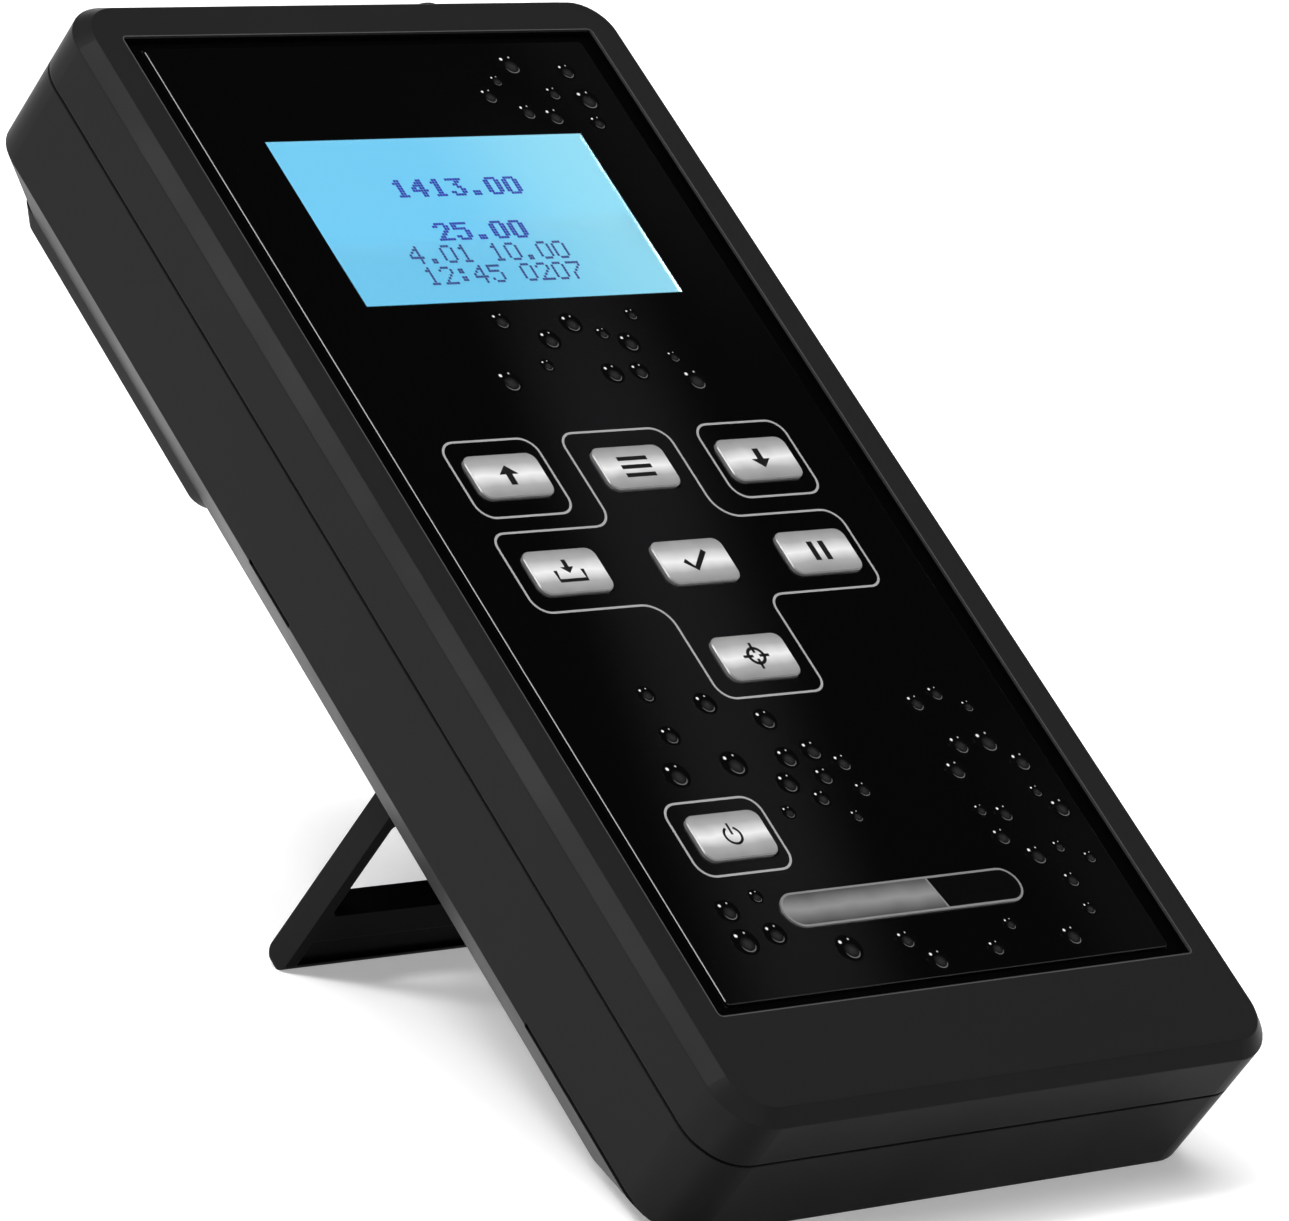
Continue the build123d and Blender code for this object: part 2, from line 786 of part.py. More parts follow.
# Round probe sockets: block on the board, metal ring through the end wall
din_sites = [(x, socket_depth) for x in din_xs]
din_face = case_length - wall
with BuildPart() as din_sockets:
    with BuildSketch(end.offset(din_face - din_body_length)):
        with Locations(*[(x, (board_rear + socket_depth + din_body_side / 2) / 2) for x in din_xs]):
            Rectangle(din_body_side, socket_depth + din_body_side / 2 - board_rear)
    extrude(amount=din_body_length)
    with BuildSketch(end.offset(din_face)):
        with Locations(*din_sites):
            Circle(din_ring_radius - din_ring_wall)
    extrude(amount=wall - din_face_inset)
    with BuildSketch(end.offset(din_face - wall)):
        for din_site in din_sites:
            with Locations(din_site):
                with PolarLocations(din_pin_circle, din_pin_count, din_pin_start):
                    Circle(din_pin_radius)
    extrude(amount=3 * wall, mode=Mode.SUBTRACT)
finish(din_sockets, "din_sockets")

with BuildPart() as din_shields:
    with BuildSketch(end.offset(din_face)):
        with Locations(*din_sites):
            Circle(din_ring_radius)
            Circle(din_ring_radius - din_ring_wall, mode=Mode.SUBTRACT)
    extrude(amount=wall)
finish(din_shields, "din_shields")

# Temperature jack: block behind the wall, threaded collar through it, ring nut outside
with BuildPart() as temp_jack:
    with BuildSketch(end.offset(din_face - jack_body_length)):
        jack_low = board_rear
        jack_high = socket_depth + jack_body_side / 2
        with Locations((jack_x, (jack_low + jack_high) / 2)):
            Rectangle(jack_body_side, jack_high - jack_low)
    extrude(amount=jack_body_length)
    with BuildSketch(end.offset(din_face)):
        with Locations((jack_x, socket_depth)):
            Circle(jack_collar_radius)
    extrude(amount=wall + jack_nut_thickness + jack_collar_reach)
    with BuildSketch(end.offset(din_face - jack_body_length + jack_back_wall)):
        with Locations((jack_x, socket_depth)):
            Circle(jack_bore_radius)
    extrude(amount=jack_body_length + 2 * wall + jack_nut_thickness, mode=Mode.SUBTRACT)
finish(temp_jack, "temp_jack")

with BuildPart() as temp_jack_nut:
    with BuildSketch(end.offset(case_length)):
        with Locations((jack_x, socket_depth)):
            Circle(jack_nut_radius)
            Circle(jack_collar_radius, mode=Mode.SUBTRACT)
    extrude(amount=jack_nut_thickness)
finish(temp_jack_nut, "temp_jack_nut")

# Battery with its snap terminals, the contact block they enter and the strips to the board
battery_centre = (battery_left + battery_length / 2, bay_middle)
terminal_depth = battery_depth + battery_thickness / 2
with BuildPart() as battery:
    block(
        battery_depth,
        battery_depth + battery_thickness,
        (battery_length, battery_width),
        battery_centre,
    )
    fillet(battery.edges().filter_by(Axis.X), battery_corner_radius)
finish(battery, "battery")

terminal_plane = side.offset(battery_left + battery_length)
with BuildPart() as battery_terminals:
    with BuildSketch(terminal_plane):
        with Locations((bay_middle - terminal_pitch / 2, -terminal_depth)):
            Circle(small_terminal_radius)
        with Locations((bay_middle + terminal_pitch / 2, -terminal_depth)):
            RegularPolygon(large_terminal_radius, 6)
    extrude(amount=terminal_height)
finish(battery_terminals, "battery_terminals")

with BuildPart() as battery_contact_block:
    block_centre = (block_left + contact_block_length / 2, bay_middle)
    block(
        bay_depth,
        battery_depth + battery_thickness,
        (contact_block_length, battery_width),
        block_centre,
    )
    with BuildSketch(side.offset(block_left)):
        with Locations((bay_middle - terminal_pitch / 2, -terminal_depth)):
            Circle(small_terminal_radius + terminal_gap)
        with Locations((bay_middle + terminal_pitch / 2, -terminal_depth)):
            Circle(large_terminal_radius + terminal_gap)
    extrude(amount=terminal_height + terminal_gap, mode=Mode.SUBTRACT)
    with BuildSketch(level(bay_depth)):
        with Locations(*strip_sites):
            Rectangle(strip_thickness + 2 * strip_gap, strip_width + 2 * strip_gap)
    extrude(amount=-strip_reach - strip_gap, mode=Mode.SUBTRACT)
finish(battery_contact_block, "battery_contact_block")

with BuildPart() as contact_strips:
    with BuildSketch(level(board_rear)):
        with Locations(*strip_sites):
            Rectangle(strip_thickness, strip_width)
    extrude(amount=-(bay_depth - board_rear + strip_reach))
finish(contact_strips, "contact_strips")

# Battery door: flush plate with side tongues, sloped end and thumb grooves
slope_run = (top_slope + pod_end_slope) / (pod_depth - side_depth)
door_end_outer = case_length - top_slope - pod_end_slope
door_end_inner = door_end_outer + slope_run * door_thickness
door_end_tongue = door_end_outer + slope_run * (door_thickness - door_tongue_thickness)
with BuildPart() as battery_door:
    with BuildSketch(side.offset(-door_half)):
        with BuildLine():
            Polyline(
                (door_bottom, -door_depth),
                (door_bottom, -pod_depth),
                (door_end_outer, -pod_depth),
                (door_end_inner, -door_depth),
                close=True,
            )
        make_face()
    extrude(amount=2 * door_half)
    block(
        door_depth,
        door_depth + door_tongue_thickness,
        (2 * door_tongue_half, door_end_tongue - door_bottom),
        (0, (door_end_tongue + door_bottom) / 2),
    )
    for index in range(grip_groove_count):
        groove_y = door_end_outer - grip_groove_setback - index * grip_groove_pitch
        with BuildSketch(level(pod_depth - grip_groove_depth)):
            with Locations((0, groove_y)):
                SlotOverall(grip_groove_length, grip_groove_width)
        extrude(amount=-grip_groove_depth, mode=Mode.SUBTRACT)
finish(battery_door, "battery_door")

# Screws: head in the column, shank through the rear shell into the front boss
with BuildPart() as case_screws:
    head_depth = rear_rim + screw_shelf
    rod(head_depth, head_depth + case_head_height, case_head_radius, case_screw_sites)
    rod(front_rim - screw_bite, head_depth, case_screw_radius, case_screw_sites)
    rod(head_depth + case_head_height / 2, head_depth + case_head_height, case_drive_radius,
        case_screw_sites, mode=Mode.SUBTRACT)
finish(case_screws, "case_screws")

with BuildPart() as board_screws:
    rod(board_rear, board_rear + board_head_height, board_head_radius, board_screw_sites)
    rod(board_rear - board_screw_length, board_rear, board_screw_radius, board_screw_sites)
finish(board_screws, "board_screws")

# Rear support: round-ended plate with a window, a thinned grip along its foot and a hinge bore
with BuildPart() as stand:
    with BuildSketch(side.offset(-stand_half_width)):
        with Locations((hinge_y, -(hinge_depth + stand_tip_depth) / 2)):
            SlotCenterToCenter(stand_tip_depth - hinge_depth, stand_thickness, rotation=90)
    extrude(amount=2 * stand_half_width)
    with BuildSketch(end.offset(hinge_y - stand_tip_radius)):
        stand_start = hinge_depth - stand_tip_radius
        stand_end = hinge_depth + stand_reach
        with Locations((0, (stand_start + stand_end) / 2)):
            RectangleRounded(2 * stand_half_width, stand_end - stand_start, stand_corner_radius)
    extrude(amount=stand_thickness, mode=Mode.INTERSECT)
    window_near = rear_depth + stand_window_top
    window_far = window_near + stand_window_height
    with BuildSketch(end.offset(hinge_y - stand_tip_radius)):
        with Locations((0, (window_near + window_far) / 2)):
            RectangleRounded(
                2 * (stand_half_width - stand_leg), stand_window_height, stand_window_radius
            )
    extrude(amount=stand_thickness, mode=Mode.SUBTRACT)
    with BuildSketch(end.offset(hinge_y - stand_tip_radius)):
        with Locations((0, (window_far + grip_inset + stand_tip_depth) / 2)):
            Rectangle(
                2 * (stand_half_width - stand_leg), stand_tip_depth - window_far - grip_inset
            )
    extrude(amount=grip_depth, mode=Mode.SUBTRACT)
    with BuildSketch(side.offset(-stand_half_width)):
        with Locations((hinge_y, -hinge_depth)):
            Circle(hinge_pin_radius + hinge_play)
    extrude(amount=2 * stand_half_width, mode=Mode.SUBTRACT)
finish(stand, "stand")

with BuildPart() as stand_pin:
    with BuildSketch(side.offset(-stand_pocket_half - pin_seat)):
        with Locations((hinge_y, -hinge_depth)):
            Circle(hinge_pin_radius)
    extrude(amount=2 * (stand_pocket_half + pin_seat))
finish(stand_pin, "stand_pin")

with BuildPart() as rear_feet:
    rod(rear_depth - foot_seat, pod_depth, foot_radius, foot_sites)
    foot_edges = rear_feet.faces().sort_by(toward_front)[0:2].edges()
    chamfer(foot_edges, foot_edge)
finish(rear_feet, "rear_feet")
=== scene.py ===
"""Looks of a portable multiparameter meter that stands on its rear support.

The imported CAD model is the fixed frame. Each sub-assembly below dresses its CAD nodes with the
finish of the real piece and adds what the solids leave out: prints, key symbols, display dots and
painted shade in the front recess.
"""

import json
import logging
import math
import random
from dataclasses import dataclass, field
from enum import Enum
from typing import Any, Iterable, Sequence

import bmesh
import bpy
from mathutils import Matrix, Vector


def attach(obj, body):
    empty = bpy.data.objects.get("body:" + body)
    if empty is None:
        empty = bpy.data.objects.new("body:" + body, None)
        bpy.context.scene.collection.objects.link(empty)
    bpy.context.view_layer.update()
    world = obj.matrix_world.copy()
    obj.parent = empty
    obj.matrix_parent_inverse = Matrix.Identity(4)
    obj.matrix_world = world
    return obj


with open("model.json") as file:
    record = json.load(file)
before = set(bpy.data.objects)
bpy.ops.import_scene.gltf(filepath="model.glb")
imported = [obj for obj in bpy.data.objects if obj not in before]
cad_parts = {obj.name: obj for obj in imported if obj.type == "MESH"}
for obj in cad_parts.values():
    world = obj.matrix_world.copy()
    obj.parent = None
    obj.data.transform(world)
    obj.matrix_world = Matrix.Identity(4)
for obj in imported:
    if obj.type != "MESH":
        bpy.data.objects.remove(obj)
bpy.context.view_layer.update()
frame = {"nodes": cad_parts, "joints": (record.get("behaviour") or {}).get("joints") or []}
LOG = logging.getLogger("meter")

Point = tuple[float, float]
Triple = tuple[float, float, float]
Quad = tuple[float, float, float, float]

MM = 0.001
# Lowest edge of the front panel from the bottom end, and its depth under the rim, in millimetres
PANEL_LOW_Y = 18.9
PANEL_FACE_DEPTH = 0.5
# Rays that round an edge in the shading
BEVEL_SAMPLES = 6


def linear(code: str, alpha: float = 1.0) -> Quad:
    """Turn an sRGB hex code into a linear colour.

    Args:
        code: Six hex digits, with or without a leading #.
        alpha: Opacity of the colour.

    Returns:
        Red, green, blue and alpha, each from 0 to 1.
    """
    parts = [int(code.lstrip("#")[i:i + 2], 16) / 255 for i in (0, 2, 4)]
    red, green, blue = (c / 12.92 if c <= 0.04045 else ((c + 0.055) / 1.055) ** 2.4 for c in parts)
    return red, green, blue, alpha


def add(tree: bpy.types.NodeTree, kind: str, inputs: dict | None = None,
        stops: Sequence[tuple[float, str]] = (), **settings: Any) -> bpy.types.Node:
    """Add one node with its settings and links.

    Args:
        tree: Node tree that takes the node.
        kind: Blender's name for the kind of node.
        inputs: Input name or number, and the value or the output socket that it takes.
        stops: Places and hex colours of a colour ramp.
        **settings: Properties of the node.

    Returns:
        The new node.
    """
    node = tree.nodes.new(kind)
    for name, value in settings.items():
        setattr(node, name, value)
    for key, value in (inputs or {}).items():
        if isinstance(value, bpy.types.NodeSocket):
            tree.links.new(value, node.inputs[key])
        else:
            node.inputs[key].default_value = value
    for index, (place, code) in enumerate(stops):
        elements = node.color_ramp.elements
        element = elements[index] if index < 2 else elements.new(place)
        element.position = place
        element.color = linear(code)
    return node


@dataclass(frozen=True)
class CaseGrid:
    """Places on the leaning case in millimetres: across, along from the bottom end, and depth."""

    origin: Vector
    across: Vector
    along: Vector
    outward: Vector

    @classmethod
    def from_frame(cls) -> "CaseGrid":
        """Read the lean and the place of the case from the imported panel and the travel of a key.

        Returns:
            The grid of the case as it stands.
        """
        travel = next(j for j in frame["joints"] if j["name"] == "key_ok_press")["axis"]
        outward = -Vector(travel).normalized()
        across = Vector((1, 0, 0))
        along = outward.cross(across)
        corners = [vertex.co for vertex in frame["nodes"]["fascia"].data.vertices]
        low = min(along.dot(corner) for corner in corners)
        front = max(outward.dot(corner) for corner in corners)
        origin = along * (low - PANEL_LOW_Y * MM) + outward * (front + PANEL_FACE_DEPTH * MM)
        return cls(origin, across, along, outward)

    def at(self, x: float, y: float, depth: float) -> Vector:
        """Return the place in metres of a point of the case given in millimetres."""
        return self.origin + (self.across * x + self.along * y - self.outward * depth) * MM

    @property
    def lean(self) -> float:
        """Angle in radians between the case and the table."""
        return math.atan2(self.along.z, self.along.y)

    def millimetres(self, tree: bpy.types.NodeTree) -> bpy.types.NodeSocket:
        """Give a shader the case's own coordinates in millimetres.

        Args:
            tree: Node tree of the material.

        Returns:
            Socket that holds across, along and outward.
        """
        place = add(tree, "ShaderNodeTexCoord")
        turned = add(tree, "ShaderNodeMapping", {
            "Vector": place.outputs["Object"],
            "Location": tuple(self.origin),
            "Rotation": (self.lean, 0.0, 0.0),
            "Scale": (MM, MM, MM),
        }, vector_type="TEXTURE")
        return turned.outputs["Vector"]


GRID = CaseGrid.from_frame()


# Finishes


@dataclass(frozen=True)
class Finish:
    """A surface as it was made: its colour, gloss and, in each kind below, its pattern."""

    name: str
    colour: str
    roughness: float = 0.5
    metallic: float = 0.0
    ior: float = 1.5
    specular: float = 0.5

    def pattern(self, tree: bpy.types.NodeTree) -> dict[str, Any]:
        """Return the inputs that vary over the surface."""
        return {}

    def material(self) -> bpy.types.Material:
        """Make the material at its first use and give it again after that.

        Returns:
            The material of this finish.
        """
        known = bpy.data.materials.get(self.name)
        if known:
            return known
        material = bpy.data.materials.new(self.name)
        material.use_nodes = True
        tree = material.node_tree
        tree.nodes.clear()
        values = {
            "Base Color": linear(self.colour),
            "Roughness": self.roughness,
            "Metallic": self.metallic,
            "IOR": self.ior,
            "Specular IOR Level": self.specular,
        }
        values.update(self.pattern(tree))
        shader = add(tree, "ShaderNodeBsdfPrincipled", values)
        add(tree, "ShaderNodeOutputMaterial", {"Surface": shader.outputs[0]})
        return material


@dataclass(frozen=True)
class MouldedPlastic(Finish):
    """Plastic from a spark-eroded mould: an even satin skin, with edges that the mould left round.

    The real grain is under 0.1 mm. It is drawn as coarse as it needs to show.
    """

    grain_mm: float = 0.45
    grain_height_mm: float = 0.004
    edge_mm: float = 0.25
    rub_mm: float = 28.0
    mottle: float = 0.06

    def pattern(self, tree: bpy.types.NodeTree) -> dict[str, Any]:
        """Build the mould grain, the round edges and a faint change of gloss where hands polish it.

        Args:
            tree: Node tree of the material.

        Returns:
            The gloss and the normal.
        """
        place = GRID.millimetres(tree)
        grain = add(tree, "ShaderNodeTexNoise", {
            "Vector": place, "Scale": 1 / self.grain_mm, "Detail": 2.0, "Roughness": 0.6})
        rubbed = add(tree, "ShaderNodeTexNoise", {
            "Vector": place, "Scale": 1 / self.rub_mm, "Detail": 3.0})
        gloss = add(tree, "ShaderNodeMapRange", {
            "Value": rubbed.outputs["Fac"], "From Min": 0.3, "From Max": 0.7,
            "To Min": self.roughness - self.mottle, "To Max": self.roughness + self.mottle})
        edge = add(tree, "ShaderNodeBevel", {"Radius": self.edge_mm * MM}, samples=BEVEL_SAMPLES)
        bump = add(tree, "ShaderNodeBump", {
            "Height": grain.outputs["Fac"], "Distance": self.grain_height_mm * MM,
            "Strength": 1.0, "Normal": edge.outputs["Normal"]})
        return {"Roughness": gloss.outputs["Result"], "Normal": bump.outputs["Normal"]}


@dataclass(frozen=True)
class FacingShadedPlastic(MouldedPlastic):
    """Moulded plastic with painted shade: walls that face one way take another colour than its
    faces.
    """

    # Colour painted on the walls that face the given way: painted shade that sets them apart from
    # the faces, as light falls on them
    other: str = "#1c1c1d"
    facing: Triple = (1.0, 0.0, 0.0)
    both_sides: bool = True
    turn: Point = (0.6, 0.95)

    def pattern(self, tree: bpy.types.NodeTree) -> dict[str, Any]:
        """Build the mould pattern and the painted shade on the walls that face the given way.

        Args:
            tree: Node tree of the material.

        Returns:
            The gloss, the normal and the colour.
        """
        inputs = super().pattern(tree)
        normal = add(tree, "ShaderNodeNewGeometry").outputs["Normal"]
        towards = add(tree, "ShaderNodeVectorMath", {0: normal, 1: self.facing},
                      operation="DOT_PRODUCT")
        value = towards.outputs["Value"]
        if self.both_sides:
            value = add(tree, "ShaderNodeMath", {0: value}, operation="ABSOLUTE").outputs[0]
        share = add(tree, "ShaderNodeMapRange", {
            "Value": value, "From Min": self.turn[0], "From Max": self.turn[1],
            "To Min": 0.0, "To Max": 1.0})
        # Painted shade: the faces' colour turns to the other colour on walls that face the given
        # way
        shade = add(tree, "ShaderNodeMix", {
            "Factor": share.outputs["Result"], "A": linear(self.colour), "B": linear(self.other)},
            data_type="RGBA")
        return inputs | {"Base Color": shade.outputs["Result"]}


@dataclass(frozen=True)
class PanelFilm(Finish):
    """Polyester film printed black on its back: mirror-smooth, with a soft grey painted reflection.

    The painted reflection is one slanting band that fades toward the top, and two paler corners on
    the right.
    """

    # Colour of the painted reflection where it is brightest
    glow: str = "#131314"
    band_start: Point = (4.0, 128.0)
    band_end: Point = (-22.0, 28.0)
    band_width_mm: float = 23.0
    fade_y: Point = (112.0, 190.0)
    right_x: Point = (20.0, 38.0)
    right_share: float = 0.3
    middle_y: float = 95.0
    corner_reach: Point = (25.0, 70.0)
    edge_mm: float = 0.12

    def pattern(self, tree: bpy.types.NodeTree) -> dict[str, Any]:
        """Build the black ground and its painted reflection.

        Args:
            tree: Node tree of the material.

        Returns:
            The colour, and a normal that rounds the cut edge of the film.
        """
        place = add(tree, "ShaderNodeSeparateXYZ", {"Vector": GRID.millimetres(tree)})
        x, y = place.outputs["X"], place.outputs["Y"]
        run = (self.band_end[0] - self.band_start[0]) / (self.band_end[1] - self.band_start[1])
        middle = add(tree, "ShaderNodeMath", {
            0: y, 1: run, 2: self.band_start[0] - run * self.band_start[1]},
            operation="MULTIPLY_ADD")
        off = add(tree, "ShaderNodeMath", {0: x, 1: middle.outputs[0]}, operation="SUBTRACT")
        away = add(tree, "ShaderNodeMath", {0: off.outputs[0]}, operation="ABSOLUTE")
        band = add(tree, "ShaderNodeMapRange", {
            "Value": away.outputs[0], "From Min": 0.0, "From Max": self.band_width_mm,
            "To Min": 1.0, "To Max": 0.0}, interpolation_type="SMOOTHERSTEP")
        top = add(tree, "ShaderNodeMapRange", {
            "Value": y, "From Min": self.fade_y[0], "From Max": self.fade_y[1],
            "To Min": 1.0, "To Max": 0.0}, interpolation_type="SMOOTHSTEP")
        lit = add(tree, "ShaderNodeMath", {0: band.outputs[0], 1: top.outputs[0]},
                  operation="MULTIPLY")
        right = add(tree, "ShaderNodeMapRange", {
            "Value": x, "From Min": self.right_x[0], "From Max": self.right_x[1],
            "To Min": 0.0, "To Max": self.right_share}, interpolation_type="SMOOTHSTEP")
        height = add(tree, "ShaderNodeMath", {0: y, 1: self.middle_y}, operation="SUBTRACT")
        reach = add(tree, "ShaderNodeMath", {0: height.outputs[0]}, operation="ABSOLUTE")
        ends = add(tree, "ShaderNodeMapRange", {
            "Value": reach.outputs[0], "From Min": self.corner_reach[0],
            "From Max": self.corner_reach[1], "To Min": 0.0, "To Max": 1.0},
            interpolation_type="SMOOTHSTEP")
        corner = add(tree, "ShaderNodeMath", {0: right.outputs[0], 1: ends.outputs[0]},
                     operation="MULTIPLY")
        # Painted reflection: the stronger of the slanting band and the paler corners
        glow = add(tree, "ShaderNodeMath", {0: lit.outputs[0], 1: corner.outputs[0]},
                   operation="MAXIMUM")
        ground = add(tree, "ShaderNodeMix", {
            "Factor": glow.outputs[0], "A": linear(self.colour), "B": linear(self.glow)},
            data_type="RGBA")
        cut = add(tree, "ShaderNodeBevel", {"Radius": self.edge_mm * MM}, samples=BEVEL_SAMPLES)
        return {"Base Color": ground.outputs["Result"], "Normal": cut.outputs["Normal"]}


@dataclass(frozen=True)
class SheenPaintedFilm(Finish):
    """Brushed metallised film with a painted sheen: a pale middle band that falls off to grey.

    The real brush lines are under 0.05 mm. They are drawn as coarse as they need to show.
    """

    # Greys of the painted sheen at the edges and the shoulders of its band
    edge: str = "#8f8f8f"
    shoulder: str = "#ababab"
    shoulder_heights: Point = (0.25, 0.78)
    wave_mm: float = 4.0
    wave_height: float = 0.16
    brush_mm: float = 0.18
    brush_height_mm: float = 0.002
    brush_run: Triple = (0.04, 1.0, 0.0)

    def pattern(self, tree: bpy.types.NodeTree) -> dict[str, Any]:
        """Build the painted sheen, a shade that runs across the piece's own map from bottom to top.

        Args:
            tree: Node tree of the material.

        Returns:
            The colour and the normal.
        """
        place = add(tree, "ShaderNodeUVMap", uv_map="UVMap")
        across = add(tree, "ShaderNodeSeparateXYZ", {"Vector": place.outputs["UV"]})
        wave = add(tree, "ShaderNodeTexNoise", {
            "Vector": GRID.millimetres(tree), "Scale": 1 / self.wave_mm, "Detail": 1.0})
        drift = add(tree, "ShaderNodeMath", {
            0: wave.outputs["Fac"], 1: self.wave_height, 2: -self.wave_height / 2},
            operation="MULTIPLY_ADD")
        height = add(tree, "ShaderNodeMath", {0: across.outputs["Y"], 1: drift.outputs[0]},
                     operation="ADD")
        low, high = self.shoulder_heights
        # Painted sheen: a grey ramp with its pale band in the middle
        shade = add(tree, "ShaderNodeValToRGB", {"Fac": height.outputs[0]}, stops=(
            (0.0, self.edge), (1.0, self.edge), (low, self.shoulder), (0.5, self.colour),
            (high, self.shoulder)))
        stretched = add(tree, "ShaderNodeMapping", {
            "Vector": GRID.millimetres(tree), "Scale": self.brush_run})
        brush = add(tree, "ShaderNodeTexNoise", {
            "Vector": stretched.outputs["Vector"], "Scale": 1 / self.brush_mm, "Detail": 2.0})
        bump = add(tree, "ShaderNodeBump", {
            "Height": brush.outputs["Fac"], "Distance": self.brush_height_mm * MM})
        return {"Base Color": shade.outputs["Color"], "Normal": bump.outputs["Normal"]}


@dataclass(frozen=True)
class BubblePrint(Finish):
    """Printed bubbles: a black disc with a grey heart, a pale lower rim and two bright spots.

    Places and widths are in radii of the bubble. Each spot has a middle, a bright and a full radius
    and a strength.
    """

    spots: tuple[tuple[Point, float, float, float], ...] = (
        ((-0.44, 0.51), 0.07, 0.15, 0.9), ((0.30, 0.66), 0.02, 0.10, 0.6))
    heart: Point = (0.08, -0.20)
    heart_reach: Point = (0.15, 0.58)
    heart_strength: float = 0.02
    rim_radius: float = 0.54
    rim_width: float = 0.06
    rim_strength: float = 0.16
    rim_fade_y: Point = (-0.62, -0.25)
    glint: str = "#f4f4f4"

    def pattern(self, tree: bpy.types.NodeTree) -> dict[str, Any]:
        """Build the shading of one bubble over the map of its disc, whose middle is zero.

        Args:
            tree: Node tree of the material.

        Returns:
            The colour.
        """
        place = add(tree, "ShaderNodeUVMap", uv_map="UVMap")
        spots = []
        for middle, inner, outer, strength in self.spots:
            far = add(tree, "ShaderNodeVectorMath", {0: place.outputs["UV"], 1: (*middle, 0.0)},
                      operation="DISTANCE")
            spots.append(add(tree, "ShaderNodeMapRange", {
                "Value": far.outputs["Value"], "From Min": inner, "From Max": outer,
                "To Min": strength, "To Max": 0.0}))
        heart = add(tree, "ShaderNodeVectorMath", {0: place.outputs["UV"], 1: (*self.heart, 0.0)},
                    operation="DISTANCE")
        grey = add(tree, "ShaderNodeMapRange", {
            "Value": heart.outputs["Value"], "From Min": self.heart_reach[0],
            "From Max": self.heart_reach[1], "To Min": self.heart_strength, "To Max": 0.0})
        rim = add(tree, "ShaderNodeMath", {0: heart.outputs["Value"], 1: self.rim_radius},
                  operation="SUBTRACT")
        off_rim = add(tree, "ShaderNodeMath", {0: rim.outputs[0]}, operation="ABSOLUTE")
        thin = add(tree, "ShaderNodeMapRange", {
            "Value": off_rim.outputs[0], "From Min": 0.0, "From Max": self.rim_width,
            "To Min": self.rim_strength, "To Max": 0.0})
        height = add(tree, "ShaderNodeSeparateXYZ", {"Vector": place.outputs["UV"]})
        below = add(tree, "ShaderNodeMapRange", {
            "Value": height.outputs["Y"], "From Min": self.rim_fade_y[0],
            "From Max": self.rim_fade_y[1], "To Min": 1.0, "To Max": 0.0})
        crescent = add(tree, "ShaderNodeMath", {0: thin.outputs[0], 1: below.outputs[0]},
                       operation="MULTIPLY")
        total = add(tree, "ShaderNodeMath", {0: grey.outputs[0], 1: crescent.outputs[0]},
                    operation="ADD")
        for spot in spots:
            total = add(tree, "ShaderNodeMath", {0: total.outputs[0], 1: spot.outputs[0]},
                        operation="MAXIMUM")
        shade = add(tree, "ShaderNodeMix", {
            "Factor": total.outputs[0], "A": linear(self.colour), "B": linear(self.glint)},
            data_type="RGBA")
        return {"Base Color": shade.outputs["Result"]}


@dataclass(frozen=True)
class LitGlass(Finish):
    """Liquid crystal glass with its lamp on: an even sky blue that pales towards the right."""

    bright: str = "#9ce8ff"
    unlit: str = "#1c3a48"
    rise_x: Point = (-6.0, 29.0)
    strength: float = 0.93

    def pattern(self, tree: bpy.types.NodeTree) -> dict[str, Any]:
        """Build the glow, which rises across the display from left to right.

        Args:
            tree: Node tree of the material.

        Returns:
            The glass's own colour, and the colour and strength of its light.
        """
        place = add(tree, "ShaderNodeSeparateXYZ", {"Vector": GRID.millimetres(tree)})
        across = add(tree, "ShaderNodeMapRange", {
            "Value": place.outputs["X"], "From Min": self.rise_x[0], "From Max": self.rise_x[1],
            "To Min": 0.0, "To Max": 1.0}, interpolation_type="SMOOTHSTEP")
        glow = add(tree, "ShaderNodeMix", {
            "Factor": across.outputs[0], "A": linear(self.colour), "B": linear(self.bright)},
            data_type="RGBA")
        return {"Base Color": linear(self.unlit), "Emission Color": glow.outputs["Result"],
                "Emission Strength": self.strength}


@dataclass(frozen=True)
class ClearSheet(Finish):
    """Clear acrylic sheet, extruded and polished: nothing of its own but a faint gloss."""

    def pattern(self, tree: bpy.types.NodeTree) -> dict[str, Any]:
        """Return full transmission."""
        return {"Transmission Weight": 1.0}


@dataclass(frozen=True)
class MachinedMetal(Finish):
    """Metal turned or rolled and then plated: fine tool lines and a soft change of gloss."""

    line_mm: float = 0.12
    line_height_mm: float = 0.003
    line_run: Triple = (0.15, 1.0, 0.15)
    tarnish_mm: float = 3.0
    tarnish: Point = (-0.06, 0.08)

    def pattern(self, tree: bpy.types.NodeTree) -> dict[str, Any]:
        """Build tool lines that follow one another along the case's length, and the tarnish.

        Args:
            tree: Node tree of the material.

        Returns:
            The gloss and the normal.
        """
        place = GRID.millimetres(tree)
        stretched = add(tree, "ShaderNodeMapping", {"Vector": place, "Scale": self.line_run})
        lines = add(tree, "ShaderNodeTexNoise", {
            "Vector": stretched.outputs["Vector"], "Scale": 1 / self.line_mm, "Detail": 2.0})
        tarnish = add(tree, "ShaderNodeTexNoise", {
            "Vector": place, "Scale": 1 / self.tarnish_mm, "Detail": 2.0})
        gloss = add(tree, "ShaderNodeMapRange", {
            "Value": tarnish.outputs["Fac"], "To Min": self.roughness + self.tarnish[0],
            "To Max": self.roughness + self.tarnish[1]})
        bump = add(tree, "ShaderNodeBump", {
            "Height": lines.outputs["Fac"], "Distance": self.line_height_mm * MM})
        return {"Roughness": gloss.outputs["Result"], "Normal": bump.outputs["Normal"]}


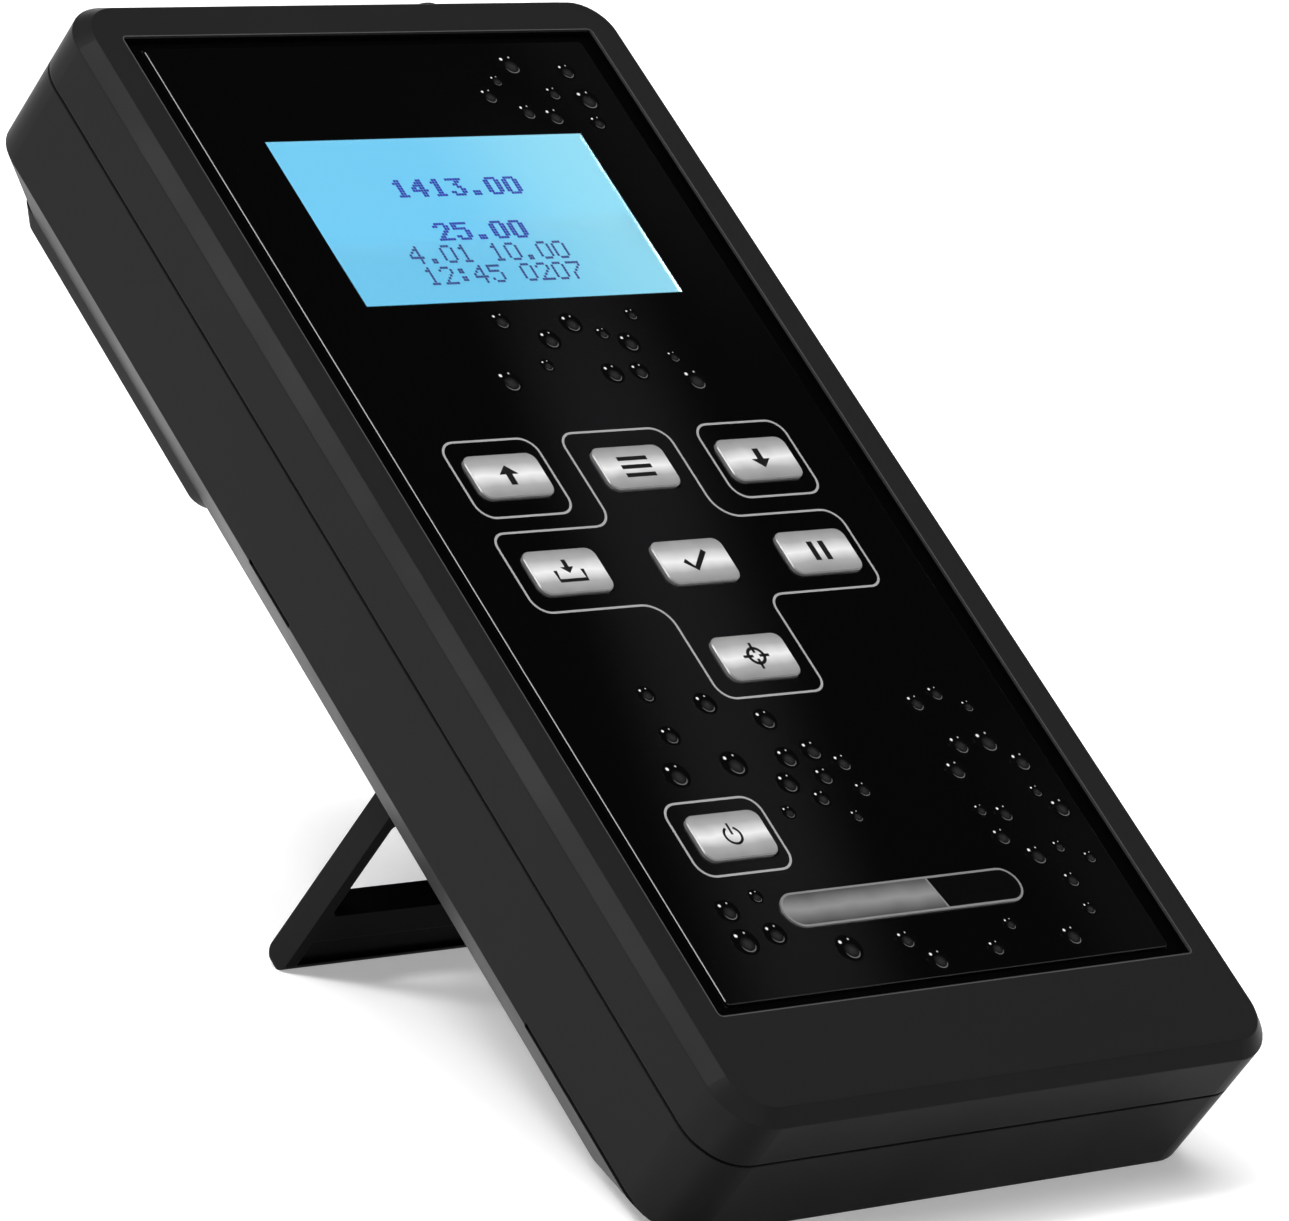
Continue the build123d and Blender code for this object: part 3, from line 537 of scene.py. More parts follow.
@dataclass(frozen=True)
class SoftRubber(Finish):
    """Moulded elastomer: matt, with a fine dusty tooth."""

    tooth_mm: float = 0.3
    tooth_height_mm: float = 0.006
    bloom: str = "#101010"
    bloom_mm: float = 5.0

    def pattern(self, tree: bpy.types.NodeTree) -> dict[str, Any]:
        """Build the tooth and a dusty bloom.

        Args:
            tree: Node tree of the material.

        Returns:
            The colour and the normal.
        """
        place = GRID.millimetres(tree)
        tooth = add(tree, "ShaderNodeTexNoise", {
            "Vector": place, "Scale": 1 / self.tooth_mm, "Detail": 3.0})
        bloom = add(tree, "ShaderNodeTexNoise", {
            "Vector": place, "Scale": 1 / self.bloom_mm, "Detail": 3.0})
        shade = add(tree, "ShaderNodeMix", {
            "Factor": bloom.outputs["Fac"], "A": linear(self.colour), "B": linear(self.bloom)},
            data_type="RGBA")
        bump = add(tree, "ShaderNodeBump", {
            "Height": tooth.outputs["Fac"], "Distance": self.tooth_height_mm * MM})
        return {"Base Color": shade.outputs["Result"], "Normal": bump.outputs["Normal"]}


@dataclass(frozen=True)
class Laminate(Finish):
    """Glass-fibre board under solder resist: the weave just shows through the lacquer."""

    weave_mm: float = 0.6
    weave: str = "#1c6b35"

    def pattern(self, tree: bpy.types.NodeTree) -> dict[str, Any]:
        """Build the weave under the resist.

        Args:
            tree: Node tree of the material.

        Returns:
            The colour.
        """
        place = GRID.millimetres(tree)
        weave = add(tree, "ShaderNodeTexVoronoi", {"Vector": place, "Scale": 1 / self.weave_mm})
        shade = add(tree, "ShaderNodeMix", {
            "Factor": weave.outputs["Distance"], "A": linear(self.colour), "B": linear(self.weave)},
            data_type="RGBA")
        return {"Base Color": shade.outputs["Result"]}


@dataclass(frozen=True)
class PaintedJacket(Finish):
    """Painted steel jacket of a block battery: dark body with a copper band at its terminal end."""

    band: str = "#8a5a2c"
    band_start_x: float = 8.0

    def pattern(self, tree: bpy.types.NodeTree) -> dict[str, Any]:
        """Build the two paints, with their border across the jacket.

        Args:
            tree: Node tree of the material.

        Returns:
            The colour.
        """
        place = add(tree, "ShaderNodeSeparateXYZ", {"Vector": GRID.millimetres(tree)})
        past = add(tree, "ShaderNodeMath", {0: place.outputs["X"], 1: self.band_start_x},
                   operation="GREATER_THAN")
        shade = add(tree, "ShaderNodeMix", {
            "Factor": past.outputs[0], "A": linear(self.colour), "B": linear(self.band)},
            data_type="RGBA")
        return {"Base Color": shade.outputs["Result"]}


# Black ABS moulded in a spark-eroded tool: a deep satin grey, with painted shade
# on the walls of the bottom end
CASE_ABS = FacingShadedPlastic("case_abs_moulded", "#1e1e1e", 0.36, specular=0.042, other="#050505",
                          facing=(0.0, -0.85, -0.52), both_sides=False)
# The same ABS with a coarser grain: near black on its faces, softer grey on its two side walls;
# the difference between them is painted shade
SUPPORT_ABS = FacingShadedPlastic("support_abs_moulded", "#060606", 0.42, specular=0.02, grain_mm=0.6,
                             other="#1f1f20")
# Printed polyester overlay: black mirror with a grey painted reflection in its colour
PANEL = PanelFilm("panel_polyester_printed", "#020202", 0.1, ior=1.57, specular=0.25)
# Metallised key top, brushed lengthwise: painted sheen, a pale band in the middle
KEY_TOP = SheenPaintedFilm("key_top_brushed", "#efefef", 0.36, metallic=0.25)
# Plated edge of the keys and the badge: an even grey outline
KEY_EDGE = MachinedMetal("key_edge_plated", "#8a8a8a", 0.38, metallic=0.3)
# Black screen ink on the keys: flat and dense
BLACK_INK = MouldedPlastic("black_ink_screened", "#0a0a0a", 0.55, edge_mm=0.01)
# Silver screen ink on the panel: pale grey lines
SILVER_INK = MachinedMetal("silver_ink_screened", "#9a9a9a", 0.5, metallic=0.1)
# Matt black sheets in the recess: painted shade round the panel, where the recess lies in shade
RECESS_SHADE = MouldedPlastic("recess_painted_shade", "#020202", 0.8, specular=0.02, edge_mm=0.01)
# Thin grey line along the rim of the recess: a painted highlight on its edge
RIM_LINE = MouldedPlastic("rim_painted_highlight", "#4a4a4a", 0.4, edge_mm=0.01)
# Shade print of bubbles under the gloss film: wet black beads with small highlights
BUBBLES = BubblePrint("bubble_ink_printed", "#020202", 0.14)
# Brushed aluminium of the badge, left bare: a mid grey with a soft painted sheen
BADGE_METAL = SheenPaintedFilm("badge_aluminium_brushed", "#8f8f8f", 0.4, metallic=0.25, edge="#4c4c4c",
                           shoulder="#717171")
# Gloss black lacquer on the badge's other end: a small black mirror with a faint painted reflection
BADGE_LACQUER = PanelFilm("badge_lacquer_gloss", "#040404", 0.08, glow="#060606")
# Back-lit display glass: the one surface that shines, sky blue
DISPLAY = LitGlass("display_glass_lit", "#78d4fc", 0.2)
# Driven dots of the liquid crystal in heavy and in fine lines: dense violet and a greyer one
DISPLAY_DOTS = MouldedPlastic("display_dots_dark", "#2a1fb0", 0.35, edge_mm=0.01)
DISPLAY_THIN_DOTS = MouldedPlastic("display_dots_thin", "#3a3a92", 0.35, edge_mm=0.01)
# Polished acrylic window: clear, with a faint gloss
WINDOW = ClearSheet("window_acrylic_polished", "#ffffff", 0.01, ior=1.49)
# Moulded rubber of the feet and the joint cord: dead black against the satin case
RUBBER = SoftRubber("rubber_moulded", "#050505", 0.75, specular=0.1)
# Nickel on turned brass: warm bright sockets
PLATED_BRASS = MachinedMetal("brass_nickel_plated", "#cfcac2", 0.22, metallic=1.0)
# Gold on the electrode contact: a yellow glint deep in the socket
GOLD_CONTACT = MachinedMetal("contact_gold_plated", "#e0b262", 0.2, metallic=1.0)
# Zinc on steel screws and the hinge pin: cold grey, half dull
ZINC_STEEL = MachinedMetal("steel_zinc_plated", "#b9bcc0", 0.33, metallic=1.0)
# Tin on thin sheet and pins: pale and slightly yellow
TIN_PLATE = MachinedMetal("steel_tin_plated", "#c2c2bd", 0.3, metallic=1.0)
# Moulded nylon of housings and sockets: black, duller than the case
BLACK_NYLON = MouldedPlastic("nylon_moulded", "#141415", 0.5, grain_mm=0.8)
# Turned PTFE of the electrode socket: waxy white ring
WHITE_PTFE = MouldedPlastic("ptfe_turned", "#e8e6df", 0.4, grain_mm=0.8)
# Circuit board under green resist: glossy, with the weave in it
BOARD = Laminate("board_laminate_lacquered", "#0c4420", 0.28)
# Painted jacket of the battery: dark and copper, the only warm colour inside
BATTERY_JACKET = PaintedJacket("battery_jacket_painted", "#191a20", 0.25, metallic=0.3)
# Cut foam behind the display: matt, open tooth
FOAM = SoftRubber("foam_cut", "#1c1c1c", 0.9, tooth_mm=0.5)
# Moulded light guide: milky white
LIGHT_GUIDE = MouldedPlastic("light_guide_moulded", "#e4e8ea", 0.35)


# Mesh helpers


def rounded_path(corners: Sequence[Triple], steps: int = 8) -> list[Point]:
    """Round the corners of a closed outline.

    Args:
        corners: x, y and radius of each corner, in order.
        steps: Number of parts in each arc.

    Returns:
        Points of the rounded outline.
    """
    path: list[Point] = []
    count = len(corners)
    for index, (x, y, radius) in enumerate(corners):
        here = Vector((x, y))
        before = (Vector(corners[index - 1][:2]) - here).normalized()
        after = (Vector(corners[(index + 1) % count][:2]) - here).normalized()
        half = before.angle(after) / 2
        centre = here + (before + after).normalized() * (radius / math.sin(half))
        start = here + before * (radius / math.tan(half)) - centre
        end = here + after * (radius / math.tan(half)) - centre
        sweep = math.atan2(start.x * end.y - start.y * end.x, start.dot(end))
        for step in range(steps + 1):
            turned = Matrix.Rotation(sweep * step / steps, 2) @ start
            path.append((centre.x + turned.x, centre.y + turned.y))
    return path


def box_path(x: float, y: float, width: float, height: float, radius: float) -> list[Point]:
    """Return the outline of a rounded rectangle round its centre."""
    half_w, half_h = width / 2, height / 2
    return rounded_path([(x - half_w, y - half_h, radius), (x + half_w, y - half_h, radius),
                         (x + half_w, y + half_h, radius), (x - half_w, y + half_h, radius)])


def arc_path(x: float, y: float, radius: float, start: float, end: float,
             steps: int = 24) -> list[Point]:
    """Return points of an arc between two angles in degrees."""
    angles = [math.radians(start + (end - start) * step / steps) for step in range(steps + 1)]
    return [(x + radius * math.cos(a), y + radius * math.sin(a)) for a in angles]


@dataclass
class Relief:
    """A thin closed layer on the case, such as ink or a plate, built from flat outlines."""

    name: str
    depth: float
    thickness: float = 0.03
    mesh: bmesh.types.BMesh = field(default_factory=bmesh.new)

    def plate(self, outline: Sequence[Point], middle: Point | None = None,
              half: Point = (1.0, 1.0)) -> None:
        """Add a filled outline with closed sides.

        Args:
            outline: Points of the outline, anticlockwise.
            middle: Zero point of its map, or None for no map.
            half: Length in each direction that the map counts as 1.
        """
        top = [self.mesh.verts.new(GRID.at(x, y, self.depth - self.thickness)) for x, y in outline]
        low = [self.mesh.verts.new(GRID.at(x, y, self.depth)) for x, y in outline]
        faces = [self.mesh.faces.new(top), self.mesh.faces.new(low[::-1])]
        count = len(outline)
        faces += [self.mesh.faces.new((low[i], low[(i + 1) % count], top[(i + 1) % count], top[i]))
                  for i in range(count)]
        if middle is None:
            return
        layers = self.mesh.loops.layers.uv
        layer = layers.get("UVMap") or layers.new("UVMap")
        places = dict(zip(top + low, list(outline) * 2))
        for face in faces:
            for loop in face.loops:
                x, y = places[loop.vert]
                loop[layer].uv = ((x - middle[0]) / half[0], (y - middle[1]) / half[1])

    def band(self, path: Sequence[Point], width: float, closed: bool) -> None:
        """Add a line of even width.

        Args:
            path: Points along the middle of the line.
            width: Width of the line in millimetres.
            closed: True where the last point joins the first.
        """
        count = len(path)
        upper = self.depth - self.thickness
        sides: list[list[bmesh.types.BMVert]] = [[], [], [], []]
        for index in range(count):
            before = path[index - 1] if closed or index else path[index]
            after = path[(index + 1) % count] if closed or index < count - 1 else path[index]
            run = Vector(after) - Vector(before)
            normal = Vector((-run.y, run.x)).normalized() * width / 2
            for side, sign, depth in ((0, 1, upper), (1, -1, upper), (2, -1, self.depth),
                                      (3, 1, self.depth)):
                place = Vector(path[index]) + normal * sign
                sides[side].append(self.mesh.verts.new(GRID.at(place.x, place.y, depth)))
        for index in range(count if closed else count - 1):
            after = (index + 1) % count
            for side in range(4):
                other = (side + 1) % 4
                self.mesh.faces.new((sides[side][index], sides[other][index],
                                     sides[other][after], sides[side][after]))
        if not closed:
            for index in (0, count - 1):
                self.mesh.faces.new([side[index] for side in sides])

    def finish(self, look: Finish, body: str, slot: str) -> bpy.types.Object:
        """Turn the layer into a dressed piece that rides on a body."""
        bmesh.ops.recalc_face_normals(self.mesh, faces=self.mesh.faces)
        return make_piece(self.name, self.mesh, look, body)


def make_piece(name: str, mesh: bmesh.types.BMesh, look: Finish, body: str) -> bpy.types.Object:
    """Make a piece from a mesh under construction.

    Args:
        name: Name of the piece.
        mesh: Its faces, which are freed here.
        look: Its finish.
        body: CAD body that carries it.

    Returns:
        The new piece.
    """
    data = bpy.data.meshes.new(name)
    mesh.to_mesh(data)
    mesh.free()
    data.materials.append(look.material())
    piece = bpy.data.objects.new(name, data)
    bpy.context.scene.collection.objects.link(piece)
    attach(piece, body)
    LOG.info("piece %s: %d faces on %s", name, len(data.polygons), body)
    return piece


def dress(nodes: Iterable[str], look: Finish) -> None:
    """Give CAD nodes their finish.

    Args:
        nodes: Names of the nodes.
        look: Their finish.
    """
    for name in nodes:
        node = frame["nodes"][name]
        if not node.material_slots:
            node.data.materials.append(look.material())
        for held in node.material_slots:
            held.material = look.material()
        LOG.info("node %s: %s", name, look.name)


# Sub-assemblies. Lengths are millimetres on the grid of the case.


@dataclass
class Casing:
    """Front and rear shells, their cord, screws, feet and battery door."""

    shells: tuple[str, ...] = ("front_shell", "rear_shell", "battery_door")
    rubber: tuple[str, ...] = ("case_seal", "rear_feet")
    screws: tuple[str, ...] = ("case_screws", "board_screws", "stand_pin")

    def build(self) -> None:
        """Dress the nodes of the casing."""
        dress(self.shells, CASE_ABS)
        dress(self.rubber, RUBBER)
        dress(self.screws, ZINC_STEEL)


class KeySymbol(Enum):
    """What each key shows, by the name of its node."""

    UP = "key_up"
    DOWN = "key_down"
    MODE = "key_mode"
    STORE = "key_store"
    OK = "key_ok"
    HOLD = "key_hold"
    CAL = "key_cal"
    POWER = "key_power"


@dataclass(frozen=True)
class Stroke:
    """One printed line of a symbol, from the middle of its key."""

    path: Sequence[Point]
    width: float
    closed: bool = False


@dataclass(frozen=True)
class Arrow:
    """A solid arrow on a key: its height over the middle, its size, and -1 where it points down."""

    rise: float
    size: float
    sign: int


ARROW_OUTLINE: tuple[Point, ...] = (
    (-0.55, -1.75), (0.55, -1.75), (0.55, 0.15), (1.68, 0.15), (0.0, 1.75), (-1.68, 0.15),
    (-0.55, 0.15))
ARROWS = {KeySymbol.UP: Arrow(0.0, 1.0, 1), KeySymbol.DOWN: Arrow(0.0, 1.0, -1),
          KeySymbol.STORE: Arrow(0.75, 0.68, -1)}
# Three rows, a tray, a tick, two bars, a target with four ticks, and a broken ring with a bar
STROKES = {
    KeySymbol.MODE: [Stroke([(-2.7, row), (2.7, row)], 0.7) for row in (-1.5, 0.0, 1.5)],
    KeySymbol.STORE: [Stroke([(-2.4, 0.1), (-2.4, -1.7), (2.4, -1.7), (2.4, 0.1)], 0.6)],
    KeySymbol.OK: [Stroke([(-2.1, 0.1), (-0.6, -1.4), (2.3, 1.6)], 0.85)],
    KeySymbol.HOLD: [Stroke([(side, -1.7), (side, 1.7)], 1.0) for side in (-1.05, 1.05)],
    KeySymbol.CAL: [Stroke(arc_path(0.0, 0.0, 1.35, 0, 360)[:-1], 0.5, True)] + [
        Stroke([(x * 0.55, y * 0.55), (x * 2.3, y * 2.3)], 0.45)
        for x, y in ((1, 0), (0, 1), (-1, 0), (0, -1))],
    KeySymbol.POWER: [Stroke(arc_path(0.0, -0.15, 1.4, 118, 422), 0.38),
                      Stroke([(0.0, 0.0), (0.0, 1.9)], 0.38)],
}


@dataclass
class Keypad:
    """Eight brushed keys with black symbols and the silver outlines printed round them."""

    key_width: float = 12.9
    key_height: float = 7.7
    key_radius: float = 1.6
    key_bevel: float = 0.15
    skin: float = 0.02
    ink: float = 0.03
    line_width: float = 0.36
    line_depth: float = PANEL_FACE_DEPTH
    # Key, shift of the box from the key's middle, width and height
    boxes: tuple[tuple[KeySymbol, Point, float, float], ...] = (
        (KeySymbol.UP, (-0.2, -0.1), 16.8, 13.7), (KeySymbol.DOWN, (0.1, 0.3), 16.4, 13.7),
        (KeySymbol.POWER, (-0.4, 0.1), 16.8, 12.4))
    box_radius: float = 2.7
    # Left, right, low and top edges of the cross's upright and of its bar, from the middle key
    cross_upright: Quad = (-9.9, 9.7, -23.8, 24.4)
    cross_bar: Quad = (-32.1, 31.3, -6.6, 7.6)
    cross_step: float = 0.4
    centres: dict[KeySymbol, Point] = field(default_factory=dict)

    def read_centres(self) -> None:
        """Find the middle of each key on the case from its CAD node."""
        for symbol in KeySymbol:
            corners = [v.co - GRID.origin for v in frame["nodes"][symbol.value].data.vertices]
            across = [GRID.across.dot(c) / MM for c in corners]
            along = [GRID.along.dot(c) / MM for c in corners]
            self.centres[symbol] = ((min(across) + max(across)) / 2, (min(along) + max(along)) / 2)

    def tops(self) -> None:
        """Lay a brushed face on each key."""
        dress([symbol.value for symbol in KeySymbol], KEY_EDGE)
        for symbol, (x, y) in self.centres.items():
            width = self.key_width - 2 * self.key_bevel
            height = self.key_height - 2 * self.key_bevel
            face = Relief(f"{symbol.value}_face", 0.0, self.skin)
            face.plate(box_path(x, y, width, height, self.key_radius - self.key_bevel),
                       (x - width / 2, y - height / 2), (width, height))
            face.finish(KEY_TOP, f"{symbol.value}_body", "key_metallised")

    def symbols(self) -> None:
        """Print each key's symbol in black."""
        for symbol, (x, y) in self.centres.items():
            ink = Relief(f"{symbol.value}_symbol", -self.skin, self.ink)
            if symbol in ARROWS:
                arrow = ARROWS[symbol]
                ink.plate([(x + px * arrow.size, y + arrow.rise + arrow.sign * py * arrow.size)
                           for px, py in ARROW_OUTLINE][::arrow.sign])
            for stroke in STROKES.get(symbol, ()):
                ink.band([(x + px, y + py) for px, py in stroke.path], stroke.width, stroke.closed)
            ink.finish(BLACK_INK, f"{symbol.value}_body", "black_plastic")

    def outlines(self) -> None:
        """Print the silver lines: a box round each outer key and a cross round the other five."""
        lines = Relief("key_outline_print", self.line_depth)
        for symbol, shift, width, height in self.boxes:
            x, y = self.centres[symbol]
            lines.band(box_path(x + shift[0], y + shift[1], width, height, self.box_radius),
                       self.line_width, True)
        middle_y = self.centres[KeySymbol.OK][1]
        left, right, low, top = self.cross_upright
        start, end, band_low, band_top = self.cross_bar
        low_right = right - self.cross_step
        corners = [(left, top, 2.6), (left, band_top, 3.2), (start, band_top, 2.4),
                   (start, band_low, 2.8), (left, band_low, 4.0), (left, low, 2.8),
                   (low_right, low, 2.4), (low_right, band_low, 2.6), (end, band_low, 2.4),
                   (end, band_top, 3.0), (right, band_top, 4.0), (right, top, 3.0)]
        lines.band(rounded_path([(x, middle_y + y, r) for x, y, r in corners]),
                   self.line_width, True)
        lines.finish(SILVER_INK, "case", "gloss_panel")

    def build(self) -> None:
        """Build the keypad."""
        self.read_centres()
        self.tops()
        self.symbols()
        self.outlines()


@dataclass
class Panel:
    """Printed front panel with its bubbles, the bare badge and painted shade in the recess round
    it.
    """

    # Middle, width and height of each group of bubbles, and how many it holds
    bubble_zones: tuple[tuple[float, float, float, float, int], ...] = (
        (4.0, 134.0, 34.0, 20.0, 12), (26.0, 180.0, 20.0, 14.0, 9), (-12.0, 58.0, 34.0, 26.0, 15),
        (30.0, 46.0, 16.0, 40.0, 17), (-27.0, 34.0, 14.0, 14.0, 4), (4.0, 23.0, 50.0, 6.0, 6))
    bubble_radii: tuple[float, ...] = (1.2, 1.5, 1.7, 1.9, 1.9, 2.2, 2.9)
    bubble_gap: float = 0.9
    bubble_sides: int = 28
    bubble_seed: int = 41
    most_tries: int = 900
    # Half width, low end and high end of the printed ground
    ground: Triple = (39.8, 19.6, 189.8)
    # Middle, half width and half height of what the bubbles keep clear of
    kept_clear: tuple[Quad, ...] = (
        (-23.0, 45.3, 9.6, 7.3), (-23.0, 109.0, 9.6, 8.0), (23.0, 109.0, 9.6, 8.0),
        (0.0, 92.0, 32.6, 8.6), (0.0, 92.0, 11.0, 25.5), (0.0, 32.1, 23.6, 4.2),
        (0.0, 156.5, 30.0, 16.8))
    # Middle, width and height
    badge: Quad = (-0.6, 32.1, 43.3, 5.7)
    badge_split: float = 5.4
    badge_lean: float = 0.5
    badge_rim: float = 0.35
    badge_end_gap: float = 0.36
    badge_thickness: float = 0.3
    badge_skin: float = 0.02
    sharp_radius: float = 0.01
    # Half width, low end and high end of the recess and of the panel in it
    recess: Triple = (42.97, 17.23, 192.17)
    film: Triple = (40.45, 18.85, 190.55)
    recess_depth: float = 1.0
    # Thickness of the black sheets of painted shade on the recess floor, and width on its walls
    floor_shade_thickness: float = 0.02
    wall_shade_thickness: float = 0.03
    wall_height: float = 0.74
    rim_size: Point = (86.6, 175.6)
    rim_radius: float = 0.8
    rim_width: float = 0.16
    rim_thickness: float = 0.01

    def is_clear(self, x: float, y: float, radius: float, placed: Sequence[Triple]) -> bool:
        """Tell whether a bubble lies on the printed ground and touches nothing.

        Args:
            x: Its middle across the case.
            y: Its middle along the case.
            radius: Its radius.
            placed: Middle and radius of the bubbles that are there already.

        Returns:
            True where the bubble fits.
        """
        half, low, high = self.ground
        if abs(x) > half - radius or not low + radius < y < high - radius:
            return False
        if any(abs(x - cx) < half_w + radius and abs(y - cy) < half_h + radius
               for cx, cy, half_w, half_h in self.kept_clear):
            return False
        return not any(math.hypot(x - px, y - py) < radius + pr + self.bubble_gap
                       for px, py, pr in placed)

    def bubbles(self) -> None:
        """Print bubbles of mixed size, in groups clear of keys, lines, badge and display."""
        draw = random.Random(self.bubble_seed)
        placed: list[Triple] = []
        sheet = Relief("bubble_print", PANEL_FACE_DEPTH, 0.015)
        for x0, y0, width, height, count in self.bubble_zones:
            tries = 0
            made = 0
            while made < count and tries < self.most_tries:
                tries += 1
                radius = draw.choice(self.bubble_radii)
                x = x0 + draw.uniform(-width / 2, width / 2)
                y = y0 + draw.uniform(-height / 2, height / 2)
                if self.is_clear(x, y, radius, placed):
                    placed.append((x, y, radius))
                    made += 1
                    sheet.plate(arc_path(x, y, radius, 0, 360, self.bubble_sides)[:-1], (x, y),
                                (radius, radius))
        sheet.finish(BUBBLES, "case", "gloss_panel")

    def badge_faces(self) -> None:
        """Lay the brushed and the black field on the badge, inside its plated edge."""
        x, y, width, height = self.badge
        top = PANEL_FACE_DEPTH - self.badge_thickness
        rim, sharp = self.badge_rim, self.sharp_radius
        radius = height / 2 - self.badge_end_gap
        left, right = x - width / 2 + rim, x + width / 2 - rim
        low, high = y - height / 2 + rim, y + height / 2 - rim
        low_split = self.badge_split + self.badge_lean
        high_split = self.badge_split - self.badge_lean
        metal = Relief("badge_metal_face", top, self.badge_skin)
        metal.plate(rounded_path([(left, low, radius), (low_split, low, sharp),
                                  (high_split, high, sharp), (left, high, radius)]),
                    (left, low), (self.badge_split - left, high - low))
        metal.finish(BADGE_METAL, "case", "badge_aluminium")
        black = Relief("badge_black_face", top, self.badge_skin)
        black.plate(rounded_path([(low_split + rim, low, sharp), (right, low, radius),
                                  (right, high, radius), (high_split + rim, high, sharp)]))
        black.finish(BADGE_LACQUER, "case", "gloss_panel")

    def paint_recess_shade(self) -> None:
        """Paint black shade on the floor and walls of the recess round the panel, and a highlight
        along its rim.
        """
        half, low, high = self.recess
        inner, inner_low, inner_high = self.film
        floor_strips = ((-half, -inner, low, high), (inner, half, low, high),
                        (-inner, inner, low, inner_low), (-inner, inner, inner_high, high))
        skin = self.wall_shade_thickness
        wall_strips = ((-half, -half + skin, low, high), (half - skin, half, low, high),
                       (-half + skin, half - skin, low, low + skin),
                       (-half + skin, half - skin, high - skin, high))
        # Painted shade: black sheets on the floor and walls of the recess
        floor = Relief("recess_floor_shade", self.recess_depth, self.floor_shade_thickness)
        walls = Relief("recess_wall_shade", self.recess_depth - self.floor_shade_thickness,
                       self.wall_height)
        for layer, strips in ((floor, floor_strips), (walls, wall_strips)):
            for x0, x1, y0, y1 in strips:
                layer.plate([(x0, y0), (x1, y0), (x1, y1), (x0, y1)])
            layer.finish(RECESS_SHADE, "case", "case_abs")
        # Painted highlight: a thin grey line along the rim of the recess
        rim = Relief("recess_rim_line", 0.0, self.rim_thickness)
        rim.band(box_path(0.0, (low + high) / 2, *self.rim_size, self.rim_radius), self.rim_width,
                 True)
        rim.finish(RIM_LINE, "case", "case_abs")

    def build(self) -> None:
        """Build the panel."""
        self.paint_recess_shade()
        dress(["fascia"], PANEL)
        dress(["badge_plate"], KEY_EDGE)
        self.bubbles()
        self.badge_faces()


# Rows of five dots for each character, from the top
DIGITS = {
    "0": "01110 10001 10001 10001 10001 10001 01110",
    "1": "00100 01100 00100 00100 00100 00100 01110",
    "2": "01110 10001 00001 00010 00100 01000 11111",
    "3": "11111 00010 00100 00010 00001 10001 01110",
    "4": "00010 00110 01010 10010 11111 00010 00010",
    "5": "11111 10000 11110 00001 00001 10001 01110",
    "6": "00110 01000 10000 11110 10001 10001 01110",
    "7": "11111 00001 00010 00100 01000 01000 01000",
    "8": "01110 10001 10001 01110 10001 10001 01110",
    "9": "01110 10001 10001 01111 00001 00010 01100",
    ".": "00000 00000 00000 00000 00000 01100 01100",
    ":": "00000 01100 01100 00000 01100 01100 00000",
    " ": "00000 00000 00000 00000 00000 00000 00000",
}


@dataclass
class Display:
    """Back-lit dot display that shows plain readings, behind its clear window."""

    dot: float = 0.49
    gap: float = 0.05
    dot_depth: float = 0.97
    dot_thickness: float = 0.01
    fine_columns: int = 6
    bold_columns: int = 7
    middle_row: int = 3
    # Text, middle across and along the case, and whether it is heavy
    lines: tuple[tuple[str, float, float, bool], ...] = (
        ("1413.00", 0.2, 162.7, True), ("25.00", -0.4, 154.3, True),
        ("4.01 10.00", -1.4, 150.1, False), ("12:45 0207", -0.9, 146.1, False))

    def write(self, text: str, x: float, y: float, bold: bool, dots: Relief) -> None:
        """Set one line of digits from dots.

        Args:
            text: Digits, points, colons and spaces.
            x: Middle of the line across the case.
            y: Middle of the line along the case.
            bold: True for strokes of two dots.
            dots: Layer that takes the dots.
        """
        pitch = (self.bold_columns if bold else self.fine_columns) * self.dot
        left = x - (len(text) * pitch - self.dot) / 2
        half = (self.dot - self.gap) / 2
        for index, character in enumerate(text):
            for row, bits in enumerate(DIGITS[character].split()):
                lit = [c for c, bit in enumerate(bits) if bit == "1"]
                lit = sorted(set(lit + [c + 1 for c in lit])) if bold else lit
                for column in lit:
                    cx = left + index * pitch + (column + 0.5) * self.dot
                    cy = y + (self.middle_row - row) * self.dot
                    dots.plate([(cx - half, cy - half), (cx + half, cy - half),
                                (cx + half, cy + half), (cx - half, cy + half)])

    def build(self) -> None:
        """Build the display."""
        dress(["lcd_glass"], DISPLAY)
        dress(["display_window"], WINDOW)
        dress(["lcd_backlight"], LIGHT_GUIDE)
        dress(["lcd_foam"], FOAM)
        dress(["lcd_pins"], TIN_PLATE)
        for bold, name, look in ((True, "display_bold_dots", DISPLAY_DOTS),
                                 (False, "display_fine_dots", DISPLAY_THIN_DOTS)):
            dots = Relief(name, self.dot_depth, self.dot_thickness)
            for text, x, y, heavy in self.lines:
                if heavy is bold:
                    self.write(text, x, y, heavy, dots)
            dots.finish(look, "case", "display_glass")


@dataclass
class Electronics:
    """Board, its parts and the battery inside the case."""

    housings: tuple[str, ...] = ("switch_housings", "board_chips", "buzzer",
                                 "battery_contact_block")
    sheet_metal: tuple[str, ...] = ("signal_shield", "capacitors", "battery_terminals",
                                    "contact_strips")

    def build(self) -> None:
        """Dress the inner nodes."""
        dress(["main_board"], BOARD)
        dress(self.housings, BLACK_NYLON)
        dress(self.sheet_metal, TIN_PLATE)
        dress(["battery"], BATTERY_JACKET)


@dataclass
class Sockets:
    """Electrode, probe and temperature sockets in the top end."""

    plated: tuple[str, ...] = ("bnc_socket", "bnc_nut", "din_shields", "temp_jack_nut")
    moulded: tuple[str, ...] = ("din_sockets", "temp_jack")

    def build(self) -> None:
        """Dress the sockets."""
        dress(self.plated, PLATED_BRASS)
        dress(["bnc_insulator"], WHITE_PTFE)
        dress(["bnc_contact"], GOLD_CONTACT)
        dress(self.moulded, BLACK_NYLON)


@dataclass
class Support:
    """Fold-out rear support."""

    def build(self) -> None:
        """Dress the support."""
        dress(["stand"], SUPPORT_ABS)


# Studio. Lengths are metres.


